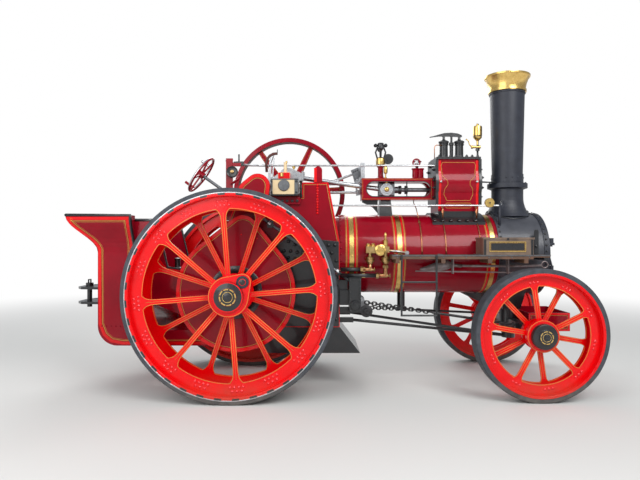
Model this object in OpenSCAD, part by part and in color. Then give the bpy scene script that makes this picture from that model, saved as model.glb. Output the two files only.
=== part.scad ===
/* [Boiler] */
// Outer radius of the clad boiler barrel
boiler_r = 420; // [380:5:440]
// Height of the boiler's axis above the ground
boiler_z = 1358; // [1340:2:1400]
// Rear end of the barrel, forward of the rear axle
barrel_x0 = 1030; // [1000:5:1060]
// Rear end of the smokebox
smokebox_x0 = 2650; // [2630:5:2680]
// Front face of the smokebox
smokebox_x1 = 3150; // [3110:5:3180]
// Outer radius of the smokebox
smokebox_r = 430; // [424:1:440]
// Thickness of the smokebox shell
smokebox_t = 12; // [8:1:20]
// Width of each brass band round the barrel
band_w = 45; // [30:1:60]
// Thickness of the brass bands
band_t = 3; // [2:0.5:5]

/* [Firebox] */
// Rear face of the firebox
firebox_x0 = 250; // [220:5:290]
// Half of the firebox's width
firebox_hw = 400; // [380:2:410]
// Height of the foundation ring
firebox_z0 = 620; // [600:5:660]
// Thickness of the firebox walls
firebox_t = 50; // [30:2:70]
// Height of the firehole's centre
firehole_z = 1290; // [1260:5:1330]
// Radius of the firehole
firehole_r = 150; // [120:5:170]
// Thickness of each hornplate
horn_t = 15; // [10:1:20]
// Height of the hornplates' top edge
horn_top = 2090; // [2070:5:2110]

/* [Rear wheels] */
// Diameter over the rubber of the rear wheels
rear_d = 1980; // [1900:10:2000]
// Width of the rear rims
rear_w = 420; // [380:5:440]
// Distance from the centre line to the inner edge of a rear rim
rear_in = 600; // [597:1:620]
// Thickness of the rear rubber
rear_rubber = 43; // [30:1:50]
// Depth of the flat ring inside the rear rim
rear_ring = 147; // [120:1:170]
// Radius of the rear axle
rear_axle_r = 62; // [50:1:70]
// Number of spokes in each plane of a rear wheel
rear_spokes = 8; // [6:1:9]

/* [Front wheels] */
// Distance between the axles
wheelbase = 2880; // [2860:5:2900]
// Diameter over the rubber of the front wheels
front_d = 1240; // [1200:5:1250]
// Width of the front rims
front_w = 180; // [160:5:200]
// Distance from the centre line to the inner edge of a front rim
front_in = 780; // [775:1:800]
// Thickness of the front rubber
front_rubber = 49; // [35:1:55]
// Depth of the flat ring inside the front rim
front_ring = 116; // [100:1:130]
// Radius of the front axle's journals
front_axle_r = 38; // [30:1:45]
// Number of spokes in each plane of a front wheel
front_spokes = 5; // [4:1:6]

/* [Spokes] */
// Width of a spoke
spoke_w = 50; // [40:1:60]
// Thickness of the spokes and rings
spoke_t = 14; // [10:1:18]
// Width of a spoke's foot on the ring of a rear wheel
foot_w = 150; // [110:5:170]
// Set-back of the outer ring from the rim's edge
ring_inset = 60; // [40:5:70]

/* [Smokebox fittings] */
// Radius of the smokebox door
door_r = 350; // [320:5:370]
// Rise of the door's dome
door_rise = 70; // [50:5:90]
// Chimney axis, forward of the rear axle
chimney_x = 2870; // [2850:5:2890]
// Height of the flange that carries the chimney barrel
chimney_z0 = 2095; // [2080:5:2110]
// Height where the brass cap begins
chimney_z1 = 3105; // [3050:5:3150]
// Outer radius of the barrel at the bottom
chimney_r0 = 160; // [150:1:165]
// Outer radius of the barrel at the top
chimney_r1 = 182; // [175:1:190]
// Height of the brass cap
cap_h = 180; // [150:5:200]
// Outer radius of the cap's lip
cap_r = 238; // [225:1:250]
// Wall of the chimney barrel
chimney_t = 12; // [8:1:18]

/* [Engine] */
// Crankshaft position, forward of the rear axle
crank_x = 470; // [460:2:480]
// Height of the crankshaft and the cylinder's axis
crank_z = 2050; // [2040:2:2060]
// Throw of the crank
crank_throw = 152; // [140:1:155]
// Angle of the parked crank above the horizontal
crank_angle = 86; // [80:1:92]
// Radius of the crankshaft
shaft_r = 50; // [40:1:55]
// Length of the connecting rod between centres
conrod_len = 1080; // [1060:5:1100]
// Diameter of the flywheel
flywheel_d = 1300; // [1250:10:1320]
// Width of the flywheel's rim
flywheel_w = 140; // [120:2:144]
// Rear end of the crosshead's trunk guide
guide_x0 = 1277; // [1265:1:1290]
// Radius of the trunk guide's bore
guide_bore = 86; // [80:1:90]
// Rear end of the cylinder block
cyl_x0 = 2076; // [2066:2:2086]
// Front end of the cylinder block
cyl_x1 = 2500; // [2480:5:2520]
// Height of the cylinder block's top
cyl_top = 2356; // [2340:2:2370]
// Radius of the piston rod
piston_rod_r = 22; // [18:1:26]

/* [Steering] */
// Distance from the centre line to the steering column
column_y = 450; // [446:1:454]
// Angle of the column below the horizontal
column_angle = 35.5; // [35:0.1:36]
// Radius of the steering column
column_r = 16; // [12:1:18]
// Radius of the steering wheel's rim centre
hand_r = 195; // [180:1:205]
// Distance from the centre line to each steering chain
chain_y = 450; // [430:5:470]
// Pitch of the chain's links
link_pitch = 37.5; // [34:0.5:42]
// Radius of the bar in a link
link_bar = 6.5; // [5:0.5:8]

/* [Footboard] */
// Rear end of the footboard
board_x0 = 1527; // [1525:1:1545]
// Front end of the footboard and the box
board_x1 = 2890; // [2860:5:2900]
// Outer edge of the footboard from the centre line
board_y = 700; // [690:2:710]
// Top of the footboard
board_z = 1360; // [1345:1:1362]
// Thickness of the footboard
board_t = 40; // [30:1:50]
// Rear end of the wooden box on the footboard
box_x0 = 2407; // [2390:5:2430]
// Height of the wooden box's body
box_h = 150; // [130:5:160]

/* [Tender] */
// Half of the tender's width
tender_hw = 480; // [470:1:490]
// Thickness of the tender's sheets
sheet_t = 10; // [6:1:14]
// Rear face of the tender below its flare
tender_back = 1400; // [1380:5:1420]
// Bottom of the water tank
tank_z0 = 445; // [430:5:460]
// Top of the tank under the footplate
tank_z1 = 600; // [590:1:610]
// Top of the tank under the coal
tank_z2 = 1100; // [1080:5:1120]
// Front of the raised part of the tank
bunker_x = 850; // [800:5:900]
// Height of the tender's top edge
tender_top = 1750; // [1730:5:1765]
// Reach of the flare behind the tender
flare_back = 270; // [240:5:290]
// Reach of the flare beside the tender
flare_side = 130; // [110:5:150]
// Height where the flare begins
flare_z = 1385; // [1370:5:1400]
// Reach of the drawbar plates behind the rear axle
hitch_reach = 1750; // [1730:5:1770]
// Height of the lower drawbar plate
hitch_z = 830; // [810:5:860]
// Gap between the drawbar plates
hitch_gap = 131; // [110:1:140]
// Thickness of the drawbar plates
hitch_t = 24; // [16:1:30]
// Radius of the holes in the drawbar plates
hitch_hole_r = 22; // [16:0.5:26]

/* [Hidden] */
$fn = 64;
seat = 0.3;
shell_seat = 0.8;
run_fit = 0.05;

rear_r = rear_d / 2;
front_r = front_d / 2;
origin_x = (wheelbase + front_r - hitch_reach) / 2;
barrel_x1 = smokebox_x0;
firebox_x1 = barrel_x0;
horn_in = firebox_hw;
horn_out = firebox_hw + horn_t;
crank_pin = [crank_x + crank_throw * cos(crank_angle), crank_z + crank_throw * sin(crank_angle)];
crosshead_x = crank_pin.x + sqrt(pow(conrod_len, 2) - pow(crank_throw * sin(crank_angle), 2));
guide_x1 = cyl_x0 - 3;
guide_hz = guide_bore + 30;
board_in = boiler_r + 15;
column_top = [-366, 2163];
column_dir = [cos(column_angle), -sin(column_angle)];
column_len = 1950;
column_end = column_top + column_len * column_dir;
roller_c = [firebox_x1 + 263, firebox_z0 + 176];
roller_r = 54;
foot_r = 200;
drive_pin = [130, 134];
axle_lug = 85;
knuckle = 24;
knuckle_r = 7;
lid_pin_r = 3;
lid_axis_y = 8 - board_in;
lid_hinges = [box_x0 + 70, board_x1 - 120];
links = 18;
link_gap = 0.4;
link_bend = 2.6 * link_bar;
draw_rod_r = 13;
axle_beam = 46;
perch_pin_r = 42;
front_ring_w = 45;
saddle_r = 230;
blow_off_x = barrel_x0 + 682;
regulator_z = cyl_top - 64;
blower_y = -300;
blower_z = boiler_z + 504;
blower_x = smokebox_x0 + 40;
sheave_r = 110;
strap_r = 138;
sheave_z = crank_z - 20;
link_c = [1250, crank_z + 100];
link_r = 790;
link_tilt = 12;
weighshaft = [1300, crank_z + 280];
reach_z = crank_z + 90;
lever_foot = [235, crank_z - 170];
tyre_edge = 9;
kingpost_z = front_r + axle_beam + 100;
cover_out = rear_in - 17;
cover_in = cover_out - 103;

// Moves the model's rear axle frame to the part's own origin
module in_frame() {
    translate([-origin_x, 0, 0]) children();
}

// Extrudes a side profile of x and z points between two y positions
module side(y0, y1) {
    translate([0, y1, 0]) rotate([90, 0, 0]) linear_extrude(y1 - y0) children();
}

// Extrudes a cross-section of y and z points between two x positions
module section(x0, x1) {
    translate([x0, 0, 0]) rotate([90, 0, 90]) linear_extrude(x1 - x0) children();
}

// Box between two corners
module block(a, b) {
    translate(a) cube(b - a);
}

// Cylinder along Y
module bar_y(x, z, y0, y1, r) {
    translate([x, y0, z]) rotate([-90, 0, 0]) cylinder(h = y1 - y0, r = r);
}

// Cylinder along X
module bar_x(x0, x1, y, z, r) {
    translate([x0, y, z]) rotate([0, 90, 0]) cylinder(h = x1 - x0, r = r);
}

// Cylinder along Z
module bar_z(x, y, z0, z1, r) {
    translate([x, y, z0]) cylinder(h = z1 - z0, r = r);
}

// Straight round rod between two points
module rod(p, q, r) {
    d = q - p;
    translate(p) rotate([0, acos(d.z / norm(d)), atan2(d.y, d.x)]) cylinder(h = norm(d), r = r);
}

// Outline of a belt round two circles
module belt(c1, r1, c2, r2) {
    d = norm(c2 - c1);
    a = atan2(c2.y - c1.y, c2.x - c1.x);
    b = acos((r1 - r2) / d);
    up = [cos(a + b), sin(a + b)];
    down = [cos(a - b), sin(a - b)];
    translate(c1) circle(r1);
    translate(c2) circle(r2);
    polygon([c1 + r1 * up, c2 + r2 * up, c2 + r2 * down, c1 + r1 * down]);
}

// Copies to both sides of the centre line
module both_sides() {
    children();
    mirror([0, 1, 0]) children();
}

// Half width of a spoke that flares into its foot
function flare_w(t, foot) = spoke_w / 2 + (foot - spoke_w) / 2 * pow(t, 5);

// Spoke in its own plane, along x
module spoke(r0, r1, foot) {
    steps = [for (i = [0 : 6]) i / 6];
    flare_r = r0 + 0.72 * (r1 - r0);
    upper = [for (t = steps) [flare_r + t * (r1 - flare_r), flare_w(t, foot)]];
    lower = [for (t = steps) [flare_r + (1 - t) * (r1 - flare_r), -flare_w(1 - t, foot)]];
    polygon(concat([[r0, spoke_w / 2]], upper, lower, [[r0, -spoke_w / 2]]));
}

// Flat ring with its spokes, in one plane
module spoked_ring(r_hub, r_in, r_out, n, phase, foot) {
    difference() {
        circle(r_out, $fn = 128);
        circle(r_in, $fn = 128);
    }
    difference() {
        union() {
            for (i = [0 : n - 1]) rotate(phase + i * 360 / n) spoke(r_hub - 20, r_in + 12, foot);
            circle(r_hub);
        }
        circle(r_hub - 45);
    }
}

// Turned ring about the wheel's axis, from an outer and an inner radius
module tube(r_out, r_in, y0, y1, fn = 128) {
    translate([0, y0, 0]) rotate([-90, 0, 0]) difference() {
        cylinder(h = y1 - y0, r = r_out, $fn = fn);
        translate([0, 0, -1]) cylinder(h = y1 - y0 + 2, r = r_in, $fn = fn);
    }
}

// Wheel on the right-hand side, its axis on the origin
module rear_wheel_body() {
    rim_r = rear_r - rear_rubber;
    y_out = -(rear_in + rear_w);
    tube(rim_r, rim_r - 32, y_out, -rear_in);
    // planes: outer ring inset from the rim's outer edge, inner ring near the inner edge
    for (p = [[y_out + ring_inset, 4.5], [-rear_in - ring_inset - spoke_t, 27]])
        side(p[0], p[0] + spoke_t)
            spoked_ring(190, rim_r - rear_ring, rim_r - 20, rear_spokes, p[1], foot_w);
    difference() {
        union() {
            bar_y(0, 0, y_out, -rear_in + 12, 150);
            side(y_out - 15, y_out + ring_inset) belt([0, 0], 185, drive_pin, 78);
            bar_y(0, 0, y_out - 50, y_out - 14, 136);
            bar_y(0, 0, y_out - 60, y_out - 49, 79);
        }
        bar_y(0, 0, y_out + 8, -rear_in + 20, rear_axle_r + run_fit);
        bar_y(drive_pin.x, drive_pin.y, y_out - 20, y_out - 2, 42);
    }
    bar_y(drive_pin.x, drive_pin.y, y_out - 32, y_out + 10, 32);
}

module front_wheel_body() {
    rim_r = front_r - front_rubber;
    y_out = -(front_in + front_w);
    tube(rim_r, rim_r - 20, y_out, -front_in);
    // planes: outer ring with its spokes' phase, then inner ring
    for (p = [[y_out + ring_inset - 10, 26], [-front_in - spoke_t - 30, 62]])
        side(p[0], p[0] + spoke_t)
            spoked_ring(146, rim_r - front_ring, rim_r - 10, front_spokes, p[1], 105);
    difference() {
        union() {
            bar_y(0, 0, y_out - 5, -front_in + 70, 120);
            bar_y(0, 0, y_out + 20, y_out + 50, 146);
            bar_y(0, 0, y_out - 45, y_out - 4, 116);
            bar_y(0, 0, y_out - 55, y_out - 44, 62);
        }
        bar_y(0, 0, y_out + 8, -front_in + 80, front_axle_r + run_fit);
    }
}

// Boiler barrel, with the small blow-off fitting under it
module boiler_barrel() {
    color("#9c1230") in_frame() {
        bar_x(barrel_x0, barrel_x1, 0, boiler_z, boiler_r, $fn = 128);
        bar_z(blow_off_x, 0, 760, boiler_z - boiler_r + 40, 40);
        bar_z(blow_off_x, 0, 745, 775, 55);
    }
}

module boiler_bands() {
    color("#d9b64a") in_frame() for (x = [barrel_x0 + 123, barrel_x0 + 613, smokebox_x0 - 60]) {
        section(x - band_w / 2, x + band_w / 2) translate([0, boiler_z]) difference() {
            circle(boiler_r + band_t, $fn = 128);
            circle(boiler_r + shell_seat, $fn = 128);
        }
    }
}

// Cross-section of the firebox wrapper
module firebox_outline(hw, z0) {
    translate([0, boiler_z]) circle(hw, $fn = 96);
    translate([-hw, z0]) square([2 * hw, boiler_z - z0]);
}

module firebox() {
    color("#7d1228") in_frame() difference() {
        section(firebox_x0, firebox_x1) firebox_outline(firebox_hw, firebox_z0);
        section(firebox_x0 + firebox_t, firebox_x1 - firebox_t)
            firebox_outline(firebox_hw - firebox_t, firebox_z0 - 1);
        bar_x(firebox_x0 - 1, firebox_x0 + firebox_t + 1, 0, firehole_z, firehole_r);
    }
}

module ashpan() {
    top = firebox_z0;
    low = firebox_z0 - 270;
    hw = firebox_hw - 20;
    color("#22242a") in_frame() difference() {
        side(-hw, hw) polygon([[firebox_x0, top], [firebox_x1, top], [firebox_x1 + 210, low], [firebox_x0 - 10, low]]);
        side(-hw + 12, hw - 12) polygon([[firebox_x0 + 14, top + 1], [firebox_x1 - 14, top + 1],
            [firebox_x1 + 175, low + 12], [firebox_x0 + 8, low + 12]]);
    }
}

module smokebox() {
    color("#2a2c31") in_frame() difference() {
        bar_x(smokebox_x0, smokebox_x1 - front_ring_w, 0, boiler_z, smokebox_r, $fn = 128);
        bar_x(smokebox_x0 - 1, smokebox_x1, 0, boiler_z, smokebox_r - smokebox_t, $fn = 96);
        bar_z(chimney_x, 0, boiler_z, boiler_z + smokebox_r + 10, chimney_r0 - 20);
    }
}

// Ring and plate that carry the door, with the lugs of its hinges
module smokebox_front() {
    ring_x = smokebox_x1 - front_ring_w;
    color("#2a2c31") in_frame() {
        difference() {
            bar_x(ring_x, smokebox_x1 + 12, 0, boiler_z, smokebox_r + 8, $fn = 128);
            bar_x(ring_x - 1, smokebox_x1 - 15, 0, boiler_z, smokebox_r - smokebox_t, $fn = 96);
            bar_x(ring_x, smokebox_x1 + 13, 0, boiler_z, door_r - 25, $fn = 96);
        }
        for (dz = [142, -138])
            difference() {
                block([smokebox_x1 + 12, -door_r - 70, boiler_z + dz - 48],
                      [smokebox_x1 + 60, -door_r - 22, boiler_z + dz - 24]);
                bar_z(smokebox_x1 + 36, -door_r - 46, boiler_z + dz - 60, boiler_z + dz - 10, 12 + run_fit);
            }
    }
}

// Door with its hinge straps and centre handles
module smokebox_door() {
    face = smokebox_x1 + 12 + seat;
    ball = (pow(door_r, 2) + pow(door_rise, 2)) / (2 * door_rise);
    hinge_x = smokebox_x1 + 36;
    hinge_y = -door_r - 46;
    color("#2f3136") in_frame() {
        translate([face, 0, boiler_z]) rotate([0, 90, 0]) rotate_extrude($fn = 96) intersection() {
            translate([0, door_rise + 14 - ball]) difference() {
                circle(ball, $fn = 160);
                circle(ball - 14, $fn = 160);
            }
            square([door_r, door_rise + 20]);
        }
        translate([face, 0, boiler_z]) rotate([0, 90, 0]) difference() {
            cylinder(h = 18, r = door_r, $fn = 96);
            translate([0, 0, -1]) cylinder(h = 20, r = door_r - 30, $fn = 96);
        }
        // straps reach from the hinge pins over the door's edge
        for (dz = [142, -138]) {
            block([face + 17, hinge_y, boiler_z + dz - 20], [face + 29, -door_r + 130, boiler_z + dz + 20]);
            bar_z(hinge_x, hinge_y, boiler_z + dz - 24 + seat, boiler_z + dz + 24, 22);
            bar_z(hinge_x, hinge_y, boiler_z + dz - 62, boiler_z + dz - 20, 12);
        }
        bar_x(face + door_rise, face + door_rise + 90, 0, boiler_z, 20);
        rod([face + door_rise + 60, 0, boiler_z], [face + door_rise + 60, 60, boiler_z - 150], 11);
        rod([face + door_rise + 85, 0, boiler_z], [face + door_rise + 85, -90, boiler_z - 130], 11);
    }
}

module chimney_base() {
    lip = chimney_r0 + 50;
    color("#23252a") in_frame() difference() {
        union() {
            intersection() {
                bar_z(chimney_x, 0, boiler_z + 200, boiler_z + smokebox_r + 30, saddle_r);
                bar_x(chimney_x - 300, chimney_x + 300, 0, boiler_z, smokebox_r + 14, $fn = 128);
            }
            translate([chimney_x, 0, 0]) rotate_extrude($fn = 96) polygon(concat(
                [[0, boiler_z + 300]],
                [for (i = [0 : 6]) let (t = i / 6)
                    [chimney_r0 + 6 + 74 * pow(1 - t, 2), boiler_z + smokebox_r - 30 + t * 200]],
                [[chimney_r0 + 6, chimney_z0 - 45], [lip, chimney_z0 - 30], [lip, chimney_z0], [0, chimney_z0]]));
        }
        bar_x(chimney_x - 400, chimney_x + 400, 0, boiler_z, smokebox_r + shell_seat, $fn = 128);
        bar_z(chimney_x, 0, boiler_z, chimney_z0 + 1, chimney_r0 - 20);
    }
}

module chimney_barrel() {
    color("#23252a") in_frame() translate([chimney_x, 0, 0]) rotate_extrude($fn = 96)
        polygon([[chimney_r0 - chimney_t, chimney_z0], [chimney_r0 + 50, chimney_z0],
            [chimney_r0 + 50, chimney_z0 + 18], [chimney_r0 + 8, chimney_z0 + 24],
            [chimney_r0 + 8, chimney_z0 + 120], [chimney_r0 + 1, chimney_z0 + 120],
            [chimney_r1, chimney_z1], [chimney_r1 - chimney_t, chimney_z1]]);
}

module chimney_cap() {
    outer = [for (i = [0 : 8]) let (t = i / 8)
        [chimney_r1 + 10 + (cap_r - 18 - chimney_r1) * (1 - cos(90 * t)), chimney_z1 + 25 + t * (cap_h - 45)]];
    inner = [for (i = [8 : -1 : 0]) let (t = i / 8)
        [chimney_r1 - 4 + (cap_r - 18 - chimney_r1) * (1 - cos(90 * t)), chimney_z1 + 25 + t * (cap_h - 45)]];
    color("#c99a3a") in_frame() translate([chimney_x, 0, 0]) rotate_extrude($fn = 96)
        polygon(concat([[chimney_r1 - chimney_t, chimney_z1], [chimney_r1 + 18, chimney_z1],
            [chimney_r1 + 18, chimney_z1 + 25]], outer,
            [[cap_r, chimney_z1 + cap_h - 20], [cap_r, chimney_z1 + cap_h], [cap_r - 22, chimney_z1 + cap_h]], inner));
}

// Casting under the smokebox, its sloping web, the perch pin and the radius rods
module perch_bracket() {
    top = boiler_z - smokebox_r;
    color("#3a1218") in_frame() {
        difference() {
            intersection() {
                section(wheelbase - 170, wheelbase + 170)
                    polygon([[-260, boiler_z - 250], [260, boiler_z - 250], [110, kingpost_z], [-110, kingpost_z]]);
                side(-300, 300)
                    polygon([[wheelbase - 170, boiler_z], [wheelbase + 170, boiler_z], [wheelbase + 95, kingpost_z],
                        [wheelbase - 95, kingpost_z]]);
            }
            bar_x(wheelbase - 400, wheelbase + 400, 0, boiler_z, smokebox_r, $fn = 128);
            bar_x(smokebox_x1 - front_ring_w - seat, smokebox_x1 + 400, 0, boiler_z, smokebox_r + 8 + seat);
        }
        difference() {
            side(-24, 24) polygon([[smokebox_x0 - 320, top + 20], [wheelbase, top + 20], [wheelbase, kingpost_z + 10],
                [wheelbase - 110, kingpost_z + 10], [smokebox_x0 - 50, kingpost_z + 50]]);
            bar_x(smokebox_x0 - 450, smokebox_x0, 0, boiler_z, boiler_r + band_t + seat, $fn = 128);
            bar_x(smokebox_x0, wheelbase, 0, boiler_z, smokebox_r, $fn = 128);
        }
        bar_z(wheelbase, 0, front_r - 170, kingpost_z, perch_pin_r);
        bar_z(wheelbase, 0, front_r - 170, front_r - axle_beam - 42, 70);
        both_sides() {
            rod([wheelbase - 40, 12, front_r - 150], [firebox_x1 + 128, 300, firebox_z0 + 60], 15);
            block([firebox_x1, 280, firebox_z0 + 35], [firebox_x1 + 145, 320, firebox_z0 + 85]);
        }
    }
}

module hornplate_outline() {
    difference() {
        polygon([[firebox_x1, firebox_z0], [firebox_x1, boiler_z + 127], [915, horn_top], [643, horn_top],
            [643, crank_z - 100], [300, crank_z - 100], [-40, 1850], [-170, 1500], [-170, 860], [0, 760],
            [firebox_x0, firebox_z0]]);
        translate([0, rear_r]) circle(rear_axle_r + seat);
    }
}

module hornplates() {
    color("#8f1029") in_frame() both_sides() side(horn_in, horn_out) hornplate_outline();
}

module rear_axle() {
    color("#3c3e44") in_frame() {
        bar_y(0, rear_r, -rear_in - rear_w + 14, rear_in + rear_w - 14, rear_axle_r);
        both_sides() {
            bar_y(0, rear_r, horn_out + seat, cover_in - seat, rear_axle_r + 50);
            bar_y(0, rear_r, horn_in - 90, horn_in - seat, rear_axle_r + 40);
        }
    }
}

// Final drive cover and the arched cover above it, on the right-hand side
module gear_covers() {
    color("#8f1029") in_frame() {
        difference() {
            side(-cover_out, -cover_in) belt([0, rear_r], rear_r - 400, [crank_x - 400, crank_z - 450], 150);
            bar_y(0, rear_r, -cover_out - 1, -cover_in + 1, rear_axle_r + seat);
            bar_y(0, rear_r, -cover_out - 1, -cover_out + 20, 190);
        }
        for (p = [[-120, rear_r + 360], [-80, rear_r - 120]]) bar_y(p.x, p.y, -cover_in, -horn_out, 26);
        side(-cover_out, -cover_in) belt([crank_x - 255, crank_z - 10], 120, [crank_x - 300, crank_z - 90], 155);
        bar_y(crank_x - 290, crank_z - 170, -cover_in, -horn_out, 26);
    }
}

// Bearings of the crankshaft on the hornplates
module crank_bearings() {
    color("#d8c49a") in_frame() {
        difference() {
            block([crank_x - 130, -horn_out - 105, crank_z - 100], [crank_x + 140, -horn_in, crank_z + 65]);
            bar_y(crank_x, crank_z, -horn_out - 106, -horn_in + 1, shaft_r + seat);
        }
        difference() {
            block([crank_x - 130, horn_in, crank_z - 100], [crank_x + 140, horn_out + 8, crank_z + 65]);
            bar_y(crank_x, crank_z, horn_in - 1, horn_out + 10, shaft_r + run_fit);
        }
        difference() {
            block([crank_x - 60, -horn_out - 90, crank_z + 65], [crank_x + 60, -horn_in - 10, crank_z + 130]);
            block([crank_x - 50, -horn_out - 80, crank_z + 75], [crank_x + 50, -horn_in - 20, crank_z + 131]);
        }
        bar_z(crank_x + 10, -horn_out - 35, crank_z + 75, crank_z + 240, 16);
    }
}

module crankshaft() {
    color("#8e9196") in_frame() {
        bar_y(crank_x, crank_z, -horn_out - 112, -75, shaft_r);
        bar_y(crank_x, crank_z, 75, rear_in - 8, shaft_r);
        bar_y(crank_pin.x, crank_pin.y, -75, 75, 46);
        for (y = [-95, 45])
            side(y, y + 50) belt([crank_x, crank_z], 90, crank_pin, 70);
        // eccentric sheaves of the valve gear
        for (y = [150, 210]) bar_y(crank_x + y - 180, sheave_z, y, y + 40, sheave_r);
        bar_y(crank_x, crank_z, -360, -300, 150);
    }
}

module crank_guard() {
    color("#a01530") in_frame() side(-horn_out - 15, -horn_in + 55) {
        translate([811, horn_top + 120]) circle(41);
        translate([770, horn_top]) square([82, 120]);
    }
}

module connecting_rod() {
    big = 88;
    color("#b9bcc0") in_frame() difference() {
        union() {
            side(-36, 36) belt(crank_pin, big, crank_pin + [130, -18], 50);
            rod([crank_pin.x + 70, 0, crank_pin.y - 10], [crosshead_x - 44, 0, crank_z + 6], 26);
            side(-31, 31) translate([crosshead_x, crank_z]) circle(56);
        }
        bar_y(crank_pin.x, crank_pin.y, -40, 40, 46 + seat);
        bar_y(crosshead_x, crank_z, -40, 40, 28 + seat);
    }
}

module crosshead() {
    color("#a9acb0") in_frame() {
        difference() {
            intersection() {
                bar_x(crosshead_x - 85, crosshead_x + 85, 0, crank_z, guide_bore - seat);
                block([crosshead_x - 85, -60, crank_z - 100], [crosshead_x + 85, 60, crank_z + 100]);
            }
            block([crosshead_x - 90, -32, crank_z - 62], [crosshead_x + 62, 32, crank_z + 62]);
        }
        bar_y(crosshead_x, crank_z, -66, 66, 28);
        bar_x(crosshead_x + 62, cyl_x0, 0, crank_z, piston_rod_r);
        bar_x(crosshead_x + 84, crosshead_x + 130, 0, crank_z, 36);
    }
}

module trunk_guide() {
    color("#a01530") in_frame() difference() {
        block([guide_x0, -guide_hz, crank_z - guide_hz], [guide_x1, guide_hz, crank_z + guide_hz]);
        bar_x(guide_x0 - 1, guide_x1 + 1, 0, crank_z, guide_bore);
        side(-guide_hz - 1, guide_hz + 1)
            belt([guide_x0 + 130, crank_z], guide_bore - 8, [guide_x1 - 140, crank_z], guide_bore - 8);
    }
}

// Stay between the boiler and the trunk guide
module motion_bracket() {
    color("#222429") in_frame() difference() {
        intersection() {
            side(-170, 170) polygon([[1430, boiler_z], [1640, boiler_z], [1590, crank_z - guide_hz],
                [1480, crank_z - guide_hz]]);
            section(1400, 1700) polygon([[-170, boiler_z], [170, boiler_z], [90, crank_z - guide_hz],
                [-90, crank_z - guide_hz]]);
        }
        bar_x(1300, 1800, 0, boiler_z, boiler_r, $fn = 128);
    }
}

// Arc of the expansion link, struck from the crankshaft's side
module link_arc(half_width, half_length) {
    translate(link_c) rotate(link_tilt) intersection() {
        translate([-link_r, 0]) difference() {
            circle(link_r + half_width, $fn = 160);
            circle(link_r - half_width, $fn = 160);
        }
        translate([-60, -half_length]) square([90, 2 * half_length]);
    }
}

// Place of a pin on the link's arc, at an angle from its middle
function on_link(a) = link_c + link_r * [cos(link_tilt + a) - cos(link_tilt), sin(link_tilt + a) - sin(link_tilt)];

// Eccentric rods, curved link and valve rod on the left of the connecting rod, with the reversing lever
module valve_gear() {
    color("#9da0a5") in_frame() {
        // inner face of each strap and the angle of its rod's pin on the link
        for (e = [[150, -8.1], [210, 8.1]]) {
            x = crank_x + e[0] - 180;
            pin = on_link(e[1]);
            difference() {
                side(e[0] + 4, e[0] + 36) {
                    translate([x, sheave_z]) circle(strap_r);
                    translate([x - 14, sheave_z - strap_r - 16]) square([28, 2 * strap_r + 32]);
                }
                bar_y(x, sheave_z, e[0], e[0] + 40, sheave_r + seat);
            }
            rod([x + sheave_r + 12, e[0] + 20, sheave_z], [pin.x, e[0] + 20, pin.y], 15);
            side(e[0] + 6, e[0] + 34) translate(pin) circle(27);
            bar_y(pin.x, pin.y, 146, 254, 13);
        }
        side(182, 214) difference() {
            link_arc(30, 142);
            link_arc(11, 92);
        }
        side(174, 222) translate(link_c) rotate(link_tilt) square([24, 62], center = true);
        rod([link_c.x, 198, link_c.y], [cyl_x0 - 30, 198, link_c.y], 14);
        side(185, 211) translate([link_c.x + 12, link_c.y - 20]) square([60, 40]);
        // weighshaft on its post, with an arm to the link and one to the reach rod
        block([weighshaft.x - 22, 50, crank_z + guide_hz], [weighshaft.x + 22, 90, weighshaft.y + 24]);
        bar_y(weighshaft.x, weighshaft.y, 46, 312, 17);
        side(232, 250) belt(weighshaft, 28, on_link(8.1), 20);
        side(294, 308) belt(weighshaft, 28, [weighshaft.x, reach_z], 18);
        rod([lever_foot.x + 14, 301, reach_z], [weighshaft.x, 301, reach_z], 10);
        // reversing lever on the left-hand hornplate
        bar_y(lever_foot.x, lever_foot.y, 288, horn_in, 22);
        side(292, 310) belt(lever_foot, 30, lever_foot + [27, 520], 13);
        rod([lever_foot.x + 26, 301, lever_foot.y + 510], [lever_foot.x + 68, 301, lever_foot.y + 620], 15);
        side(296, 306) belt(lever_foot + [52, 340], 7, lever_foot + [70, 560], 7);
        side(300, 306) belt(lever_foot + [10, 340], 8, lever_foot + [52, 340], 8);
    }
}

module cylinder_block() {
    color("#9c1230") in_frame() difference() {
        section(cyl_x0, cyl_x1) {
            translate([0, crank_z + 60]) circle(228, $fn = 96);
            translate([-200, boiler_z + boiler_r + 30]) square([400, cyl_top - boiler_z - boiler_r - 30]);
        }
        bar_x(cyl_x0 - 1, cyl_x0 + 60, 0, crank_z, piston_rod_r + seat);
    }
    // steam chest and its cover on the left-hand side
    color("#9c1230") in_frame() {
        block([cyl_x0 + 36, 150, crank_z - 10], [cyl_x1 - 36, 262, cyl_top - 70]);
        block([cyl_x0 + 22, 262, crank_z - 24], [cyl_x1 - 22, 280, cyl_top - 56]);
    }
}

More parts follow.
